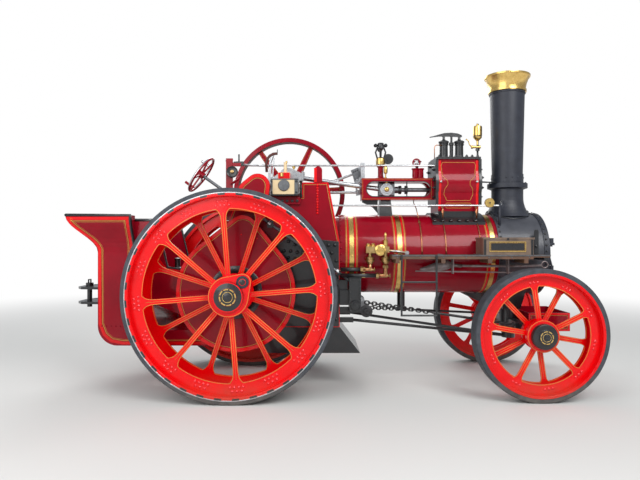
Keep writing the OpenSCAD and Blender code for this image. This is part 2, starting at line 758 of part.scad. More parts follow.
// Covers at both ends, the top plate and the saddle on the boiler
module cylinder_flanges() {
    saddle_top = boiler_z + boiler_r + 30;
    color("#26282d") in_frame() {
        difference() {
            section(cyl_x0 - 30, cyl_x0) {
                translate([0, crank_z + 60]) circle(240, $fn = 96);
                translate([-215, crank_z - 180]) square([430, cyl_top - crank_z + 180]);
            }
            bar_x(cyl_x0 - 40, cyl_x0 + 1, 0, crank_z, guide_bore);
            block([guide_x0, -guide_hz - seat, crank_z - guide_hz - seat],
                  [guide_x1 + seat, guide_hz + seat, crank_z + guide_hz + seat]);
        }
        section(cyl_x1, cyl_x1 + 30) {
            translate([0, crank_z + 60]) circle(240, $fn = 96);
            translate([-215, crank_z - 180]) square([430, cyl_top - crank_z + 180]);
        }
        block([cyl_x0 - 20, -225, cyl_top], [cyl_x1 + 20, 225, cyl_top + 24]);
        difference() {
            block([cyl_x0 - 76, -290, boiler_z + 200], [cyl_x1 + 50, 290, saddle_top]);
            bar_x(cyl_x0 - 100, cyl_x1 + 100, 0, boiler_z, boiler_r, $fn = 128);
            difference() {
                block([cyl_x0 - 80, -300, boiler_z], [cyl_x1 + 60, 300, saddle_top + 1]);
                bar_x(cyl_x0 - 90, cyl_x1 + 90, 0, boiler_z, boiler_r + 22, $fn = 128);
                block([cyl_x0, -200, boiler_z], [cyl_x1, 200, saddle_top + 2]);
            }
        }
    }
}

module safety_valves() {
    top = cyl_top + 24;
    color("#24262b") in_frame() {
        for (x = [2178, 2346]) {
            bar_z(x, 0, top, top + 180, 44);
            bar_z(x, 0, top + 145, top + 195, 56);
            bar_z(x, 0, top + 195, top + 230, 20);
        }
        side(-16, 16) belt([2170, top + 232], 20, [2350, top + 232], 20);
        side(-12, 12) belt([2010, top + 220], 12, [2190, top + 238], 18);
        bar_z(2262, 0, top, top + 220, 24);
    }
}

module whistle() {
    color("#c99a3a") in_frame() {
        rod([cyl_x1 + 30, -60, 2300], [cyl_x1 + 75, -60, 2300], 14);
        bar_z(cyl_x1 + 62, -60, 2300, 2560, 14);
        bar_z(cyl_x1 + 62, -60, 2550, 2610, 34);
        bar_z(cyl_x1 + 62, -60, 2610, 2735, 46);
        bar_z(cyl_x1 + 62, -60, 2735, 2765, 14);
    }
}

module governor() {
    top = crank_z + guide_hz;
    stand_x = guide_x0 + 610;
    color("#2b2d32") in_frame() {
        bar_z(1490, 0, top, top + 160, 26);
        bar_z(1490, 0, top, top + 16, 44);
        bar_z(1490, 0, top + 160, top + 220, 46);
        for (y = [-1, 1]) {
            rod([1490, 20 * y, top + 220], [1490, 60 * y, top + 330], 9);
            rod([1490, 20 * y, top + 375], [1490, 58 * y, top + 340], 6);
            translate([1490, 62 * y, top + 335]) rotate([0, 90, 0]) sphere(30);
        }
        bar_z(1490, 0, top + 220, top + 385, 12);
        bar_z(1490, 0, top + 370, top + 390, 34);
        bar_y(1572, top + 220, -20, 20, 52);
        bar_y(1572, top + 220, -30, 30, 16);
        rod([1500, 0, top + 200], [1572, 0, top + 220], 12);
        // stand with a small handwheel beside the governor
        bar_z(stand_x, 0, top, top + 14, 38);
        bar_z(stand_x, 0, top + 14, top + 180, 15);
        translate([stand_x, 0, top + 192]) rotate_extrude($fn = 64) translate([42, 0]) circle(7, $fn = 16);
        for (turn = [0, 120, 240]) translate([stand_x, 0, top + 192]) rotate([0, 90, turn]) cylinder(h = 40, r = 5);
        bar_z(stand_x, 0, top + 176, top + 204, 14);
    }
}

module feed_pump() {
    x = barrel_x0 + 400;
    y = -boiler_r - 75;
    z = boiler_z + 47;
    pipe_z = [z - 195, z - 255];
    color("#b98a4e") in_frame() {
        block([x - 140, y - 45, z - 30], [x - 45, y + 45, z + 35]);
        block([x + 20, y - 35, z - 25], [x + 90, y + 35, z + 35]);
        bar_z(x + 55, y, z + 35, z + 95, 24);
        bar_z(x + 55, y, z + 95, z + 170, 10);
        for (p = [[x - 100, pipe_z[0]], [x + 55, pipe_z[1]]]) {
            bar_z(p.x, y, p.y, z - 25, 20);
            bar_z(p.x, y, z - 115, z - 75, 40);
            bar_x(barrel_x0 + 10, p.x + 20, y, p.y, 19);
        }
        rod([x + 90, y, z - 5], [x + 270, y, z - 29], 12);
        // body and pipe clips, cut to the barrel
        difference() {
            union() {
                bar_y(x, z, y - 50, -boiler_r + 30, 52);
                for (h = pipe_z) block([x - 180, y - 12, h - 22], [x - 150, -300, h + 22]);
            }
            bar_x(x - 230, x + 170, 0, boiler_z, boiler_r, $fn = 128);
        }
    }
}

// Rods along the engine to the regulator, the blower and the reversing lever
module control_rods() {
    color("#a4a7ab") in_frame() {
        rod([-100, -180, regulator_z], [cyl_x0 - 30, -180, regulator_z], 9);
        bar_y(-100, regulator_z, -horn_in, -171, 12);
        side(-horn_in, -horn_in + 14)
            polygon([[-125, 1700], [-60, 1700], [-60, regulator_z + 18], [-125, regulator_z + 18]]);
        bar_x(950, blower_x, blower_y, blower_z, 9);
        bar_y(975, blower_z, -horn_in, blower_y + 2, 6);
        bar_y(blower_x - 105, blower_z + 28, blower_y - 12, blower_y + 12, 46);
        difference() {
            bar_z(blower_x, blower_y, boiler_z + 242, blower_z + 23, 12);
            bar_x(blower_x - 90, blower_x + 90, 0, boiler_z, smokebox_r, $fn = 128);
        }
    }
}

module footboard() {
    color("#6b4a33") in_frame() {
        block([board_x0, -board_y, board_z - board_t], [board_x1, -board_in, board_z]);
        // each bracket's place and the radius that it is cut to
        for (b = [[1560, boiler_r], [2000, boiler_r], [2450, boiler_r], [2800, smokebox_r]])
            difference() {
                block([b[0], -board_y, board_z - board_t - 40], [b[0] + 40, -390, board_z - board_t]);
                bar_x(b[0] - 1, b[0] + 41, 0, boiler_z, b[1], $fn = 128);
            }
    }
}

module name_box() {
    top = board_z + box_h;
    color("#54402c") in_frame() {
        difference() {
            block([box_x0, -board_y, board_z], [board_x1, -board_in, top]);
            block([box_x0 + 15, -board_y + 15, board_z + 15], [board_x1 - 15, -board_in - 15, top + 1]);
        }
        for (x = lid_hinges) difference() {
            union() {
                block([x + knuckle, -board_in - 1, top - 20], [x + 2 * knuckle, lid_axis_y, top - 1]);
                bar_x(x + knuckle, x + 2 * knuckle, lid_axis_y, top, knuckle_r);
            }
            bar_x(x, x + 3 * knuckle, lid_axis_y, top, lid_pin_r + run_fit);
        }
    }
}

// Lid with a knuckle and the pin of each hinge
module box_lid() {
    top = board_z + box_h;
    color("#5d4731") in_frame() {
        block([box_x0 - 8, -board_y - 8, top + seat], [board_x1 + 8, -board_in - 4, top + 18]);
        for (x = lid_hinges) {
            block([x, -board_in - 5, top + 1], [x + knuckle - seat, lid_axis_y, top + knuckle_r - 1]);
            bar_x(x, x + knuckle - seat, lid_axis_y, top, knuckle_r);
            bar_x(x + 5, x + 2 * knuckle, lid_axis_y, top, lid_pin_r);
        }
    }
}

module side_step() {
    color("#26282d") in_frame() {
        for (x = [1615, 1952]) {
            block([x - 9, -board_y - 16, 770], [x + 9, -board_y - 4, board_z]);
            block([x - 9, -board_y - 4, board_z - board_t - 12], [x + 9, -board_in, board_z - board_t]);
        }
        for (z = [1100, 778]) rod([1615, -board_y - 10, z], [1952, -board_y - 10, z], 9);
    }
}

module fire_irons() {
    x = board_x0 + 253;
    y = -board_in - 45;
    z = board_z - 120;
    color("#6d6a66") in_frame() {
        rod([x + 300, y, z], [board_x1 - 20, y, z - 5], 12);
        difference() {
            block([x, y - 20, z - 75], [x + 320, y + 20, z + 35]);
            block([x - 5, y - 16, z - 65], [x + 310, y + 21, z + 36]);
        }
        rod([x, y - 40, z - 40], [board_x1 - 140, y - 40, z - 55], 9);
        // hooks under the footboard
        for (h = [board_x1 - 740, board_x1 - 190]) block([h, y - 52, z - 75], [h + 12, y + 16, board_z - board_t]);
    }
}

module steering_gear() {
    case_x = firebox_x1 + 90;
    case_z = firebox_z0 + 160;
    color("#23252a") in_frame() {
        difference() {
            union() {
                block([case_x, -column_y - 60, case_z], [case_x + 120, -column_y + 60, case_z + 340]);
                block([firebox_x1, -column_y - 20, case_z + 70], [case_x, -column_y + 45, case_z + 220]);
                block([300, -column_y - 26, 1630], [360, -horn_out, 1700]);
            }
            rod([column_top.x, -column_y, column_top.y], [column_end.x, -column_y, column_end.y],
                column_r + run_fit);
        }
        bar_y(roller_c.x, roller_c.y, -column_y - 55, column_y + 55, roller_r);
        both_sides() block([firebox_x1, horn_in - 15, roller_c.y - 30], [roller_c.x, horn_out, roller_c.y + 30]);
    }
}

// Column with its worm, on the column's own axis
module steering_column() {
    color("#5b5e63") in_frame() {
        p = column_top + 20 * column_dir;
        q = column_top + (column_len - 6) * column_dir;
        rod([p.x, -column_y, p.y], [q.x, -column_y, q.y], column_r);
    }
}

module steering_wheel() {
    color("#7d1228") in_frame() translate([column_top.x, -column_y, column_top.y])
        rotate([0, 90 + column_angle, 0]) {
            rotate_extrude($fn = 96) translate([hand_r, 0]) circle(14, $fn = 24);
            difference() {
                translate([0, 0, -30]) cylinder(h = 60, r = 34);
                translate([0, 0, 20]) cylinder(h = 50, r = column_r);
            }
            for (i = [0 : 4]) rotate(i * 72) translate([30, -10, -7]) cube([hand_r - 36, 20, 14]);
            rotate(36) translate([hand_r, 0, -120]) cylinder(h = 115, r = 14);
        }
}

// Link of a chain: two round ends and two straight sides, along x in the plane of x and z
module chain_link() {
    straight = link_pitch / 2 + link_gap / 2 + link_bar - link_bend;
    rotate([90, 0, 0]) for (turn = [0, 180]) rotate(turn) {
        translate([straight, 0, 0]) rotate(-90) rotate_extrude(angle = 180, $fn = 32)
            translate([link_bend, 0]) circle(link_bar, $fn = 24);
        translate([-straight, link_bend, 0]) rotate([0, 90, 0]) cylinder(h = 2 * straight, r = link_bar, $fn = 24);
    }
}

// Right-hand chain leaves the roller's top, left-hand chain its bottom
module steering_chains() {
    eye = [wheelbase - axle_lug, front_r + 30];
    away = eye - roller_c;
    reach = roller_r + link_bend + link_bar + seat;
    lean = asin(reach / norm(away));
    run = sqrt(pow(norm(away), 2) - pow(reach, 2));
    color("#2b2d32") in_frame() for (s = [-1, 1]) {
        slope = atan2(away.y, away.x) + s * lean;
        rod_end = run - (seat - draw_rod_r * sin(slope)) / cos(slope);
        translate([roller_c.x, s * chain_y, roller_c.y]) rotate([0, -slope, 0]) translate([0, 0, -s * reach]) {
            for (i = [0 : links - 1]) translate([i * link_pitch, 0, 0]) rotate([i % 2 * 90, 0, 0]) chain_link();
            bar_x((links - 0.5) * link_pitch + link_bar, rod_end, 0, 0, draw_rod_r);
        }
    }
}

// Outline of the tender's foot with its rounded rear corner
module tender_foot(back) {
    difference() {
        polygon([[-back, tank_z0], [firebox_x0 - 370, tank_z0], [firebox_x0 - 370, tank_z1],
            [-bunker_x, tank_z1], [-bunker_x, tank_z2], [-back, tank_z2]]);
        difference() {
            translate([-back - 1, tank_z0 - 1]) square(foot_r + 1);
            translate([-back + foot_r, tank_z0 + foot_r]) circle(foot_r);
        }
    }
}

module tender_tank() {
    hw = tender_hw - sheet_t;
    color("#7d1228") in_frame() side(-hw, hw) tender_foot(tender_back - sheet_t);
}

function flare(t) = (1 - cos(180 * t)) / 2;
function flare_curve(reach) = [for (i = [0 : 8]) [reach * flare(i / 8), flare_z + i / 8 * (tender_top - flare_z)]];
function reversed(list) = [for (i = [len(list) - 1 : -1 : 0]) list[i]];

// Flared sheet's section, inwards of its curve by the sheet's thickness
module flare_sheet(reach) {
    curve = flare_curve(reach);
    polygon(concat(curve, [for (p = reversed(curve)) [p.x - sheet_t, p.y]]));
}

module tender_sides() {
    hw = tender_hw;
    front = -1040;
    side_curve = flare_curve(flare_side);
    color("#8f1029") in_frame() {
        both_sides() {
            side(hw - sheet_t, hw) {
                tender_foot(tender_back);
                polygon([[-tender_back, tank_z2 - 10], [-130, tank_z1 - 20], [-130, 1100], [-280, 1180],
                    [-700, 1230], [-800, tender_top - 100], [-850, tender_top - 50], [front, tender_top - 50],
                    [front, flare_z], [-tender_back, flare_z]]);
            }
            // flared top of the side, mitred to the back's curve
            intersection() {
                section(-tender_back - flare_back - 1, front) translate([hw, 0]) flare_sheet(flare_side);
                side(0, hw + flare_side + 1) polygon(concat([[front, flare_z]],
                    [for (p = flare_curve(flare_back)) [-tender_back - p.x, p.y]], [[front, tender_top]]));
            }
            section(front, front + sheet_t) polygon(concat([[hw - sheet_t, flare_z]],
                [for (p = side_curve) [hw + p.x, p.y]], [[hw - sheet_t, tender_top]]));
            // angle that joins the tender to the hornplate
            block([-168, horn_out, 880], [-132, hw - sheet_t, 1080]);
        }
        block([-tender_back, -hw + sheet_t, tank_z0 + foot_r], [-tender_back + sheet_t, hw - sheet_t, flare_z]);
        intersection() {
            side(-hw - flare_side - 1, hw + flare_side + 1)
                translate([-tender_back, 0]) mirror([1, 0]) flare_sheet(flare_back);
            section(-tender_back - flare_back - 1, -tender_back + sheet_t + 1)
                polygon(concat([for (p = side_curve) [hw + p.x, p.y]],
                    [for (p = reversed(side_curve)) [-hw - p.x, p.y]]));
        }
    }
}

// Drawbar plates with their pin, and the side holes
module drawbar_hitch() {
    upper = hitch_z + hitch_t + hitch_gap;
    top = upper + hitch_t;
    color("#2b2d32") in_frame() {
        difference() {
            for (z = [hitch_z, upper]) translate([0, 0, z]) linear_extrude(hitch_t)
                polygon([[-tender_back, -240], [-tender_back, 240], [-hitch_reach + 60, 200],
                    [-hitch_reach, 120], [-hitch_reach, -120], [-hitch_reach + 60, -200]]);
            for (y = [-130, 130]) bar_z(-hitch_reach + 90, y, hitch_z - 10, top + 11, hitch_hole_r);
            bar_z(-hitch_reach + 70, 0, hitch_z - 10, top + 11, 26 + seat);
        }
        bar_z(-hitch_reach + 70, 0, hitch_z - 50, top + 21, 26);
        bar_z(-hitch_reach + 70, 0, top, top + 31, 40);
        block([-tender_back - 24, -240, hitch_z + hitch_t], [-tender_back, 240, upper]);
    }
}

module front_axle() {
    color("#26282d") in_frame() difference() {
        union() {
            block([wheelbase - axle_beam, -front_in + 80, front_r - axle_beam],
                  [wheelbase + axle_beam, front_in - 80, front_r + axle_beam]);
            bar_y(wheelbase, front_r, -front_in - front_w + 14, front_in + front_w - 14, front_axle_r);
            bar_z(wheelbase, 0, front_r - axle_beam - 40, kingpost_z - seat, 95);
            both_sides() block([wheelbase - axle_lug, chain_y - 20, front_r - 20],
                [wheelbase - axle_beam, chain_y + 20, front_r + 50]);
        }
        bar_z(wheelbase, 0, front_r - 200, kingpost_z + 1, perch_pin_r + run_fit);
    }
}

module front_tray() {
    color("#8f1029") in_frame() {
        difference() {
            block([wheelbase + 110, -300, front_r - 60], [wheelbase + 540, 300, front_r + 130]);
            block([wheelbase + 120, -290, front_r - 50], [wheelbase + 530, 290, front_r + 131]);
        }
        both_sides() block([wheelbase + axle_beam, 180, front_r - 30], [wheelbase + 110, 210, front_r + 30]);
    }
}

module rear_wheel_right() {
    color("#d3121b") in_frame() translate([0, 0, rear_r]) rear_wheel_body();
}

module rear_wheel_left() {
    color("#d3121b") in_frame() translate([0, 0, rear_r]) mirror([0, 1, 0]) rear_wheel_body();
}

// Rubber on a rim, turned from its section with chamfered shoulders
module tyre(r, t, y0, w) {
    translate([0, y0, 0]) rotate([-90, 0, 0]) rotate_extrude($fn = 128)
        polygon([[r - t, 0], [r - tyre_edge, 0], [r, tyre_edge], [r, w - tyre_edge], [r - tyre_edge, w], [r - t, w]]);
}

module rear_tyre() {
    tyre(rear_r, rear_rubber, -rear_in - rear_w, rear_w);
}

module rear_tyre_right() {
    color("#34373b") in_frame() translate([0, 0, rear_r]) rear_tyre();
}

module rear_tyre_left() {
    color("#34373b") in_frame() translate([0, 0, rear_r]) mirror([0, 1, 0]) rear_tyre();
}

module front_wheel_right() {
    color("#d3121b") in_frame() translate([wheelbase, 0, front_r]) front_wheel_body();
}

module front_wheel_left() {
    color("#d3121b") in_frame() translate([wheelbase, 0, front_r]) mirror([0, 1, 0]) front_wheel_body();
}

module front_tyre() {
    tyre(front_r, front_rubber, -front_in - front_w, front_w);
}

module front_tyre_right() {
    color("#34373b") in_frame() translate([wheelbase, 0, front_r]) front_tyre();
}

module front_tyre_left() {
    color("#34373b") in_frame() translate([wheelbase, 0, front_r]) mirror([0, 1, 0]) front_tyre();
}

module flywheel() {
    r = flywheel_d / 2;
    y0 = horn_out + 25;
    color("#8b1533") in_frame() translate([crank_x, 0, crank_z]) difference() {
        union() {
            tube(r, r - 48, y0, y0 + flywheel_w);
            bar_y(0, 0, y0 - 6, y0 + flywheel_w + 6, 105);
            side(y0 + 45, y0 + flywheel_w - 45) for (i = [0 : 5]) rotate(5 + 60 * i)
                polygon([[90, -42], [90, 42], [r - 40, 27], [r - 40, -27]]);
        }
        bar_y(0, 0, y0 - 10, y0 + flywheel_w + 10, shaft_r + run_fit);
    }
}

module fire_door() {
    x1 = firebox_x0 - seat;
    color("#26282d") in_frame() {
        bar_x(x1 - 18, x1, 0, firehole_z, firehole_r + 25);
        block([x1 - 18, -firehole_r - 60, firehole_z - 70], [x1, -firehole_r + 10, firehole_z + 70]);
        bar_z(x1 - 20, -firehole_r - 60, firehole_z - 70, firehole_z + 70, 12);
    }
}

boiler_barrel();
boiler_bands();
firebox();
ashpan();
smokebox();
smokebox_front();
chimney_base();
chimney_barrel();
chimney_cap();
perch_bracket();
hornplates();
rear_axle();
gear_covers();
crank_bearings();
crankshaft();
crank_guard();
connecting_rod();
crosshead();
trunk_guide();
motion_bracket();
valve_gear();
cylinder_block();
cylinder_flanges();
safety_valves();
whistle();
governor();
feed_pump();
control_rods();
footboard();
name_box();
side_step();
fire_irons();
steering_gear();
steering_chains();
tender_tank();
tender_sides();
drawbar_hitch();
front_axle();
front_tray();
front_wheel_right();
front_tyre_right();
front_wheel_left();
front_tyre_left();
rear_wheel_right();
rear_tyre_right();
rear_wheel_left();
rear_tyre_left();
flywheel();
smokebox_door();
fire_door();
steering_wheel();
steering_column();
box_lid();
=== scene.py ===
"""Steam traction engine: finishes, lining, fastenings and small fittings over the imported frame."""

import logging
import math
from dataclasses import dataclass
from enum import Enum
from typing import Iterable, Sequence

import bmesh
import bpy
from mathutils import Matrix, Vector


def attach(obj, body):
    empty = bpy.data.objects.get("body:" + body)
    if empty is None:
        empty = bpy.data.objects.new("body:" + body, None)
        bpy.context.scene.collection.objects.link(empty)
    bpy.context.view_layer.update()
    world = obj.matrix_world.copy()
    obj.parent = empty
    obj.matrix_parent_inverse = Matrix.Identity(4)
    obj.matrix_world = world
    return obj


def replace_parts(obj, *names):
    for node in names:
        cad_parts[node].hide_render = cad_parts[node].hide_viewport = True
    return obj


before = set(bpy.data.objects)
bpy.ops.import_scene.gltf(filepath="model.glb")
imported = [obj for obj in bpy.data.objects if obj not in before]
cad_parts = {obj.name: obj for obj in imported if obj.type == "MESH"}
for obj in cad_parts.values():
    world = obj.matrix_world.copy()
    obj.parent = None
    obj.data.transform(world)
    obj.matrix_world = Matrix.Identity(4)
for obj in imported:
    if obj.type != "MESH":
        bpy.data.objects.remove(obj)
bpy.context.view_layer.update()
log = logging.getLogger("engine")

Piece = bpy.types.Object
Point = tuple[float, float, float]
Pair = tuple[float, float]
Outline = Sequence[Pair]

# The part's origin lies this far ahead of the rear axle.
ORIGIN_X = 0.875
# Heights and radii that several assemblies share.
BOILER_Z, BOILER_R, SMOKEBOX_R = 1.358, 0.42, 0.43
CRANK_X, CRANK_Z = 0.47, 2.05
CHIMNEY_X = 2.87


def at(x: float, y: float, z: float) -> Vector:
    """Gives a place from a length forward of the rear axle, a side and a height."""
    return Vector((x - ORIGIN_X, y, z))


def linear(hex_colour: str) -> tuple[float, float, float, float]:
    """Turns an sRGB hex value to a linear colour.

    Args:
        hex_colour: Six hex digits with a leading hash.

    Returns:
        Linear red, green, blue and an alpha of one.
    """
    values = [int(hex_colour[i : i + 2], 16) / 255 for i in (1, 3, 5)]
    out = [v / 12.92 if v <= 0.04045 else ((v + 0.055) / 1.055) ** 2.4 for v in values]
    return (out[0], out[1], out[2], 1.0)


def add_node(tree: bpy.types.NodeTree, kind: str, settings: dict | None = None, links: dict | None = None):
    """Adds a node to a tree with its settings and its incoming links.

    Args:
        tree: Node tree to add to.
        kind: Node type name without its leading ShaderNode.
        settings: Attribute names, or socket names, with their values.
        links: Input socket name or index, with the output socket that feeds it.

    Returns:
        The new node.
    """
    node = tree.nodes.new(f"ShaderNode{kind}")
    for name, value in (settings or {}).items():
        if isinstance(name, int) or name in node.inputs:
            node.inputs[name].default_value = value
        else:
            setattr(node, name, value)
    for name, socket in (links or {}).items():
        tree.links.new(socket, node.inputs[name])
    return node


def empty_tree(owner: bpy.types.Material | bpy.types.World) -> bpy.types.NodeTree:
    """Gives a material or world an empty node tree."""
    owner.use_nodes = True
    owner.node_tree.nodes.clear()
    return owner.node_tree


class Slot(Enum):
    """Material slots that the finishes name."""

    CRIMSON = "crimson"
    WHEEL_RED = "wheel_red"
    BLACK = "black"
    DARK_STEEL = "dark_steel"
    STEEL = "steel"
    BRASS = "brass"
    BRONZE = "bronze"
    CREAM = "cream"
    WOOD = "wood"
    TYRE = "tyre"


@dataclass(frozen=True)
class Finish:
    """A surface finish: its colours, its gloss and its fine relief.

    Attributes:
        name: Plain name of the material and how it was made.
        base: Main colour.
        shade: Colour of the darker or worn variation.
        slot: Slot named for this finish; not used.
        metallic: Metallic value of the shader.
        roughness: Middle roughness.
        spread: How far roughness varies either way.
        coat: Weight of the varnish coat.
        specular: Specular level under the coat.
        patch_mm: Size of the colour patches.
        patch: How strongly the patches show, 0 to 1.
        grain_mm: Size of the fine relief.
        relief: Strength of the fine relief.
        stretch: Scale of the grain along X, Y and Z, for brushed or sawn surfaces.
        dust: Colour of the dust on the low parts, or empty for none.
        dust_top: Height in metres up to which dust shows.
    """

    name: str
    base: str
    shade: str
    slot: Slot = Slot.CRIMSON
    metallic: float = 0.0
    roughness: float = 0.4
    spread: float = 0.08
    coat: float = 0.0
    specular: float = 0.5
    patch_mm: float = 180.0
    patch: float = 0.35
    grain_mm: float = 3.0
    relief: float = 0.05
    stretch: Point = (1.0, 1.0, 1.0)
    dust: str = ""
    dust_top: float = 0.25

    def material(self) -> bpy.types.Material:
        """Builds the node material once and returns it."""
        made = bpy.data.materials.get(self.name)
        if made:
            return made
        made = bpy.data.materials.new(self.name)
        tree = empty_tree(made)
        place = add_node(tree, "TexCoord").outputs["Object"]
        patches = add_node(
            tree, "TexNoise", {"Scale": 1000.0 / self.patch_mm, "Detail": 4.0, "Roughness": 0.6}, {"Vector": place}
        ).outputs["Fac"]
        spread = add_node(
            tree, "MapRange", {"From Min": 0.35, "From Max": 0.7, "To Min": 0.0, "To Max": self.patch},
            {"Value": patches}
        )
        colour = add_node(
            tree, "Mix", {"data_type": "RGBA", 6: linear(self.base), 7: linear(self.shade)},
            {0: spread.outputs["Result"]}
        ).outputs[2]
        scale = tuple(1000.0 / self.grain_mm * s for s in self.stretch)
        stretched = add_node(tree, "Mapping", {"Scale": scale}, {"Vector": place})
        grain = add_node(
            tree, "TexNoise", {"Scale": 1.0, "Detail": 3.0, "Roughness": 0.55}, {"Vector": stretched.outputs["Vector"]}
        ).outputs["Fac"]
        low, high = max(self.roughness - self.spread, 0.02), min(self.roughness + self.spread, 1.0)
        gloss = add_node(
            tree, "MapRange", {"From Min": 0.3, "From Max": 0.7, "To Min": low, "To Max": high}, {"Value": grain}
        )
        bump = add_node(tree, "Bump", {"Strength": self.relief, "Distance": self.grain_mm / 1000.0}, {"Height": grain})
        if self.dust:
            colour = self.dusted(tree, place, patches, colour)
        shader = add_node(
            tree, "BsdfPrincipled",
            {"Metallic": self.metallic, "Specular IOR Level": self.specular, "Coat Weight": self.coat,
             "Coat Roughness": 0.06},
            {"Base Color": colour, "Roughness": gloss.outputs["Result"], "Normal": bump.outputs["Normal"]},
        )
        add_node(tree, "OutputMaterial", None, {"Surface": shader.outputs["BSDF"]})
        return made

    def dusted(self, tree, place, patches, colour) -> bpy.types.NodeSocket:
        """Lays dust on the low parts of the piece.

        Args:
            tree: Tree of the material.
            place: Socket of its Object coordinates.
            patches: Socket of the noise that breaks the dust up.
            colour: Socket of the clean colour.

        Returns:
            The socket of the colour with its dust.
        """
        split = add_node(tree, "SeparateXYZ", None, {"Vector": place})
        low = add_node(
            tree, "MapRange", {"From Min": self.dust_top, "From Max": 0.0, "To Min": 0.0, "To Max": 0.7},
            {"Value": split.outputs["Z"]},
        )
        broken = add_node(tree, "Math", {"operation": "MULTIPLY"}, {0: low.outputs["Result"], 1: patches})
        mixed = add_node(
            tree, "Mix", {"data_type": "RGBA", 7: linear(self.dust)}, {0: broken.outputs["Value"], 6: colour}
        )
        return mixed.outputs[2]


# Coach enamel, brushed on and varnished: a deep gloss with faint brush relief.
CRIMSON = Finish(
    "crimson_coach_enamel", "#94041C", "#700214", roughness=0.22, spread=0.05, coat=0.22, specular=0.14,
    patch=0.5, patch_mm=260, grain_mm=6, relief=0.03,
)
# The same enamel in bright signal red on the wheels, with dust from the field low down.
SIGNAL_RED = Finish(
    "signal_red_enamel", "#E80008", "#C80006", Slot.WHEEL_RED, roughness=0.28, spread=0.07, coat=0.2,
    specular=0.25, patch=0.4, patch_mm=150, grain_mm=5, relief=0.04, dust="#8C6E52", dust_top=0.22,
)
# Heat-proof black on the smokebox and chimney: satin, slightly mottled by heat.
SMOKEBOX_BLACK = Finish(
    "heatproof_smokebox_black", "#20232D", "#2F333F", Slot.BLACK, roughness=0.46, patch=0.6,
    patch_mm=90, grain_mm=4, relief=0.12,
)
# The same black greyed by heat and ash on the smokebox's shell.
ASHED_BLACK = Finish(
    "ashed_smokebox_black", "#3A3C43", "#4E5058", Slot.BLACK, roughness=0.40, coat=0.1, patch=0.6,
    patch_mm=110, grain_mm=4, relief=0.12,
)
# Black enamel on castings and frames: glossier, with dust low down.
BLACK_ENAMEL = Finish(
    "black_enamel_on_castings", "#17181B", "#26282B", Slot.BLACK, roughness=0.33, coat=0.35, patch=0.5,
    patch_mm=80, grain_mm=5, relief=0.10, dust="#6B5B48", dust_top=0.3,
)
# Sheet brass, polished by hand: warm, with fine cloudy tarnish.
BRASS = Finish(
    "polished_brass", "#E6C478", "#BC934C", Slot.BRASS, metallic=1.0, roughness=0.27, patch=0.6,
    patch_mm=40, grain_mm=1.5, relief=0.03,
)
# Gunmetal castings: duller and pinker than brass, with a cast skin.
GUNMETAL = Finish(
    "cast_gunmetal", "#C6A873", "#94744A", Slot.BRONZE, metallic=1.0, roughness=0.36, spread=0.1, patch=0.7,
    patch_mm=25, grain_mm=2, relief=0.15,
)
# Drawn copper pipe, handled and slightly browned.
COPPER = Finish(
    "drawn_copper_pipe", "#C98A63", "#8A5236", Slot.BRONZE, metallic=1.0, roughness=0.28, spread=0.1, patch=0.6,
    patch_mm=30, grain_mm=1.5, relief=0.04,
)
# Bright steel, filed and oiled: grey with fine scratches.
BRIGHT_STEEL = Finish(
    "bright_machined_steel", "#D2D4D6", "#9FA2A6", Slot.STEEL, metallic=1.0, roughness=0.3, spread=0.1, patch=0.5,
    patch_mm=35, grain_mm=1.2, relief=0.06, stretch=(0.2, 1.0, 1.0),
)
# Machined steel gone dull and dark with oil, on levers and plates.
DULL_STEEL = Finish(
    "dulled_machined_steel", "#77797C", "#4E5053", Slot.DARK_STEEL, metallic=0.9, spread=0.1, patch=0.6,
    patch_mm=35, grain_mm=1.5, relief=0.1,
)
# Forged steel with oil and soot on it, as on chains and irons.
OILED_STEEL = Finish(
    "oiled_forged_steel", "#4A4A4C", "#2A2725", Slot.DARK_STEEL, metallic=0.85, roughness=0.45, spread=0.12,
    patch=0.7, patch_mm=30, grain_mm=2, relief=0.2,
)
# Worn steel of the shovel, brown where it has rusted lightly.
WORN_STEEL = Finish(
    "worn_shovel_steel", "#9A9092", "#6C5C56", Slot.DARK_STEEL, metallic=0.4, roughness=0.42, spread=0.12,
    patch=0.9, patch_mm=60, grain_mm=2.5, relief=0.15,
)
# Natural rubber strip on the wheels: grey, scuffed, dusty where it meets the ground.
RUBBER = Finish(
    "scuffed_solid_rubber", "#34373E", "#4C5057", Slot.TYRE, roughness=0.72, spread=0.1, patch=0.8,
    patch_mm=70, grain_mm=2.5, relief=0.35, dust="#7A7060", dust_top=0.35,
)
# Cream enamel, brushed on the bearing's cap and the gauge's face.
CREAM = Finish(
    "cream_enamel", "#E6CDA0", "#CDB083", Slot.CREAM, roughness=0.35, spread=0.06, coat=0.4, patch=0.3,
    patch_mm=60, grain_mm=4, relief=0.04,
)
# Gold paint of the lining, drawn on by hand, which has more body than shine.
GOLD_LINE = Finish(
    "gold_lining_paint", "#D2A048", "#B98A38", Slot.BRASS, metallic=0.35, spread=0.05, patch=0.3,
    patch_mm=30, grain_mm=2, relief=0.02,
)
# Softwood plank of the footboard: grain along it, greyed by boots and soot.
PLANK = Finish(
    "oiled_softwood_plank", "#6E4E3A", "#3E2C22", Slot.WOOD, roughness=0.55, spread=0.12, patch=0.8,
    patch_mm=160, grain_mm=6, relief=0.3, stretch=(0.04, 1.0, 1.0),
)
# Varnished oak of the box, sawn along the grain.
OAK = Finish(
    "varnished_oak", "#7A6656", "#4E4038", Slot.WOOD, coat=0.15, patch=0.7,
    patch_mm=120, grain_mm=7, relief=0.2, stretch=(0.05, 1.0, 1.0),
)
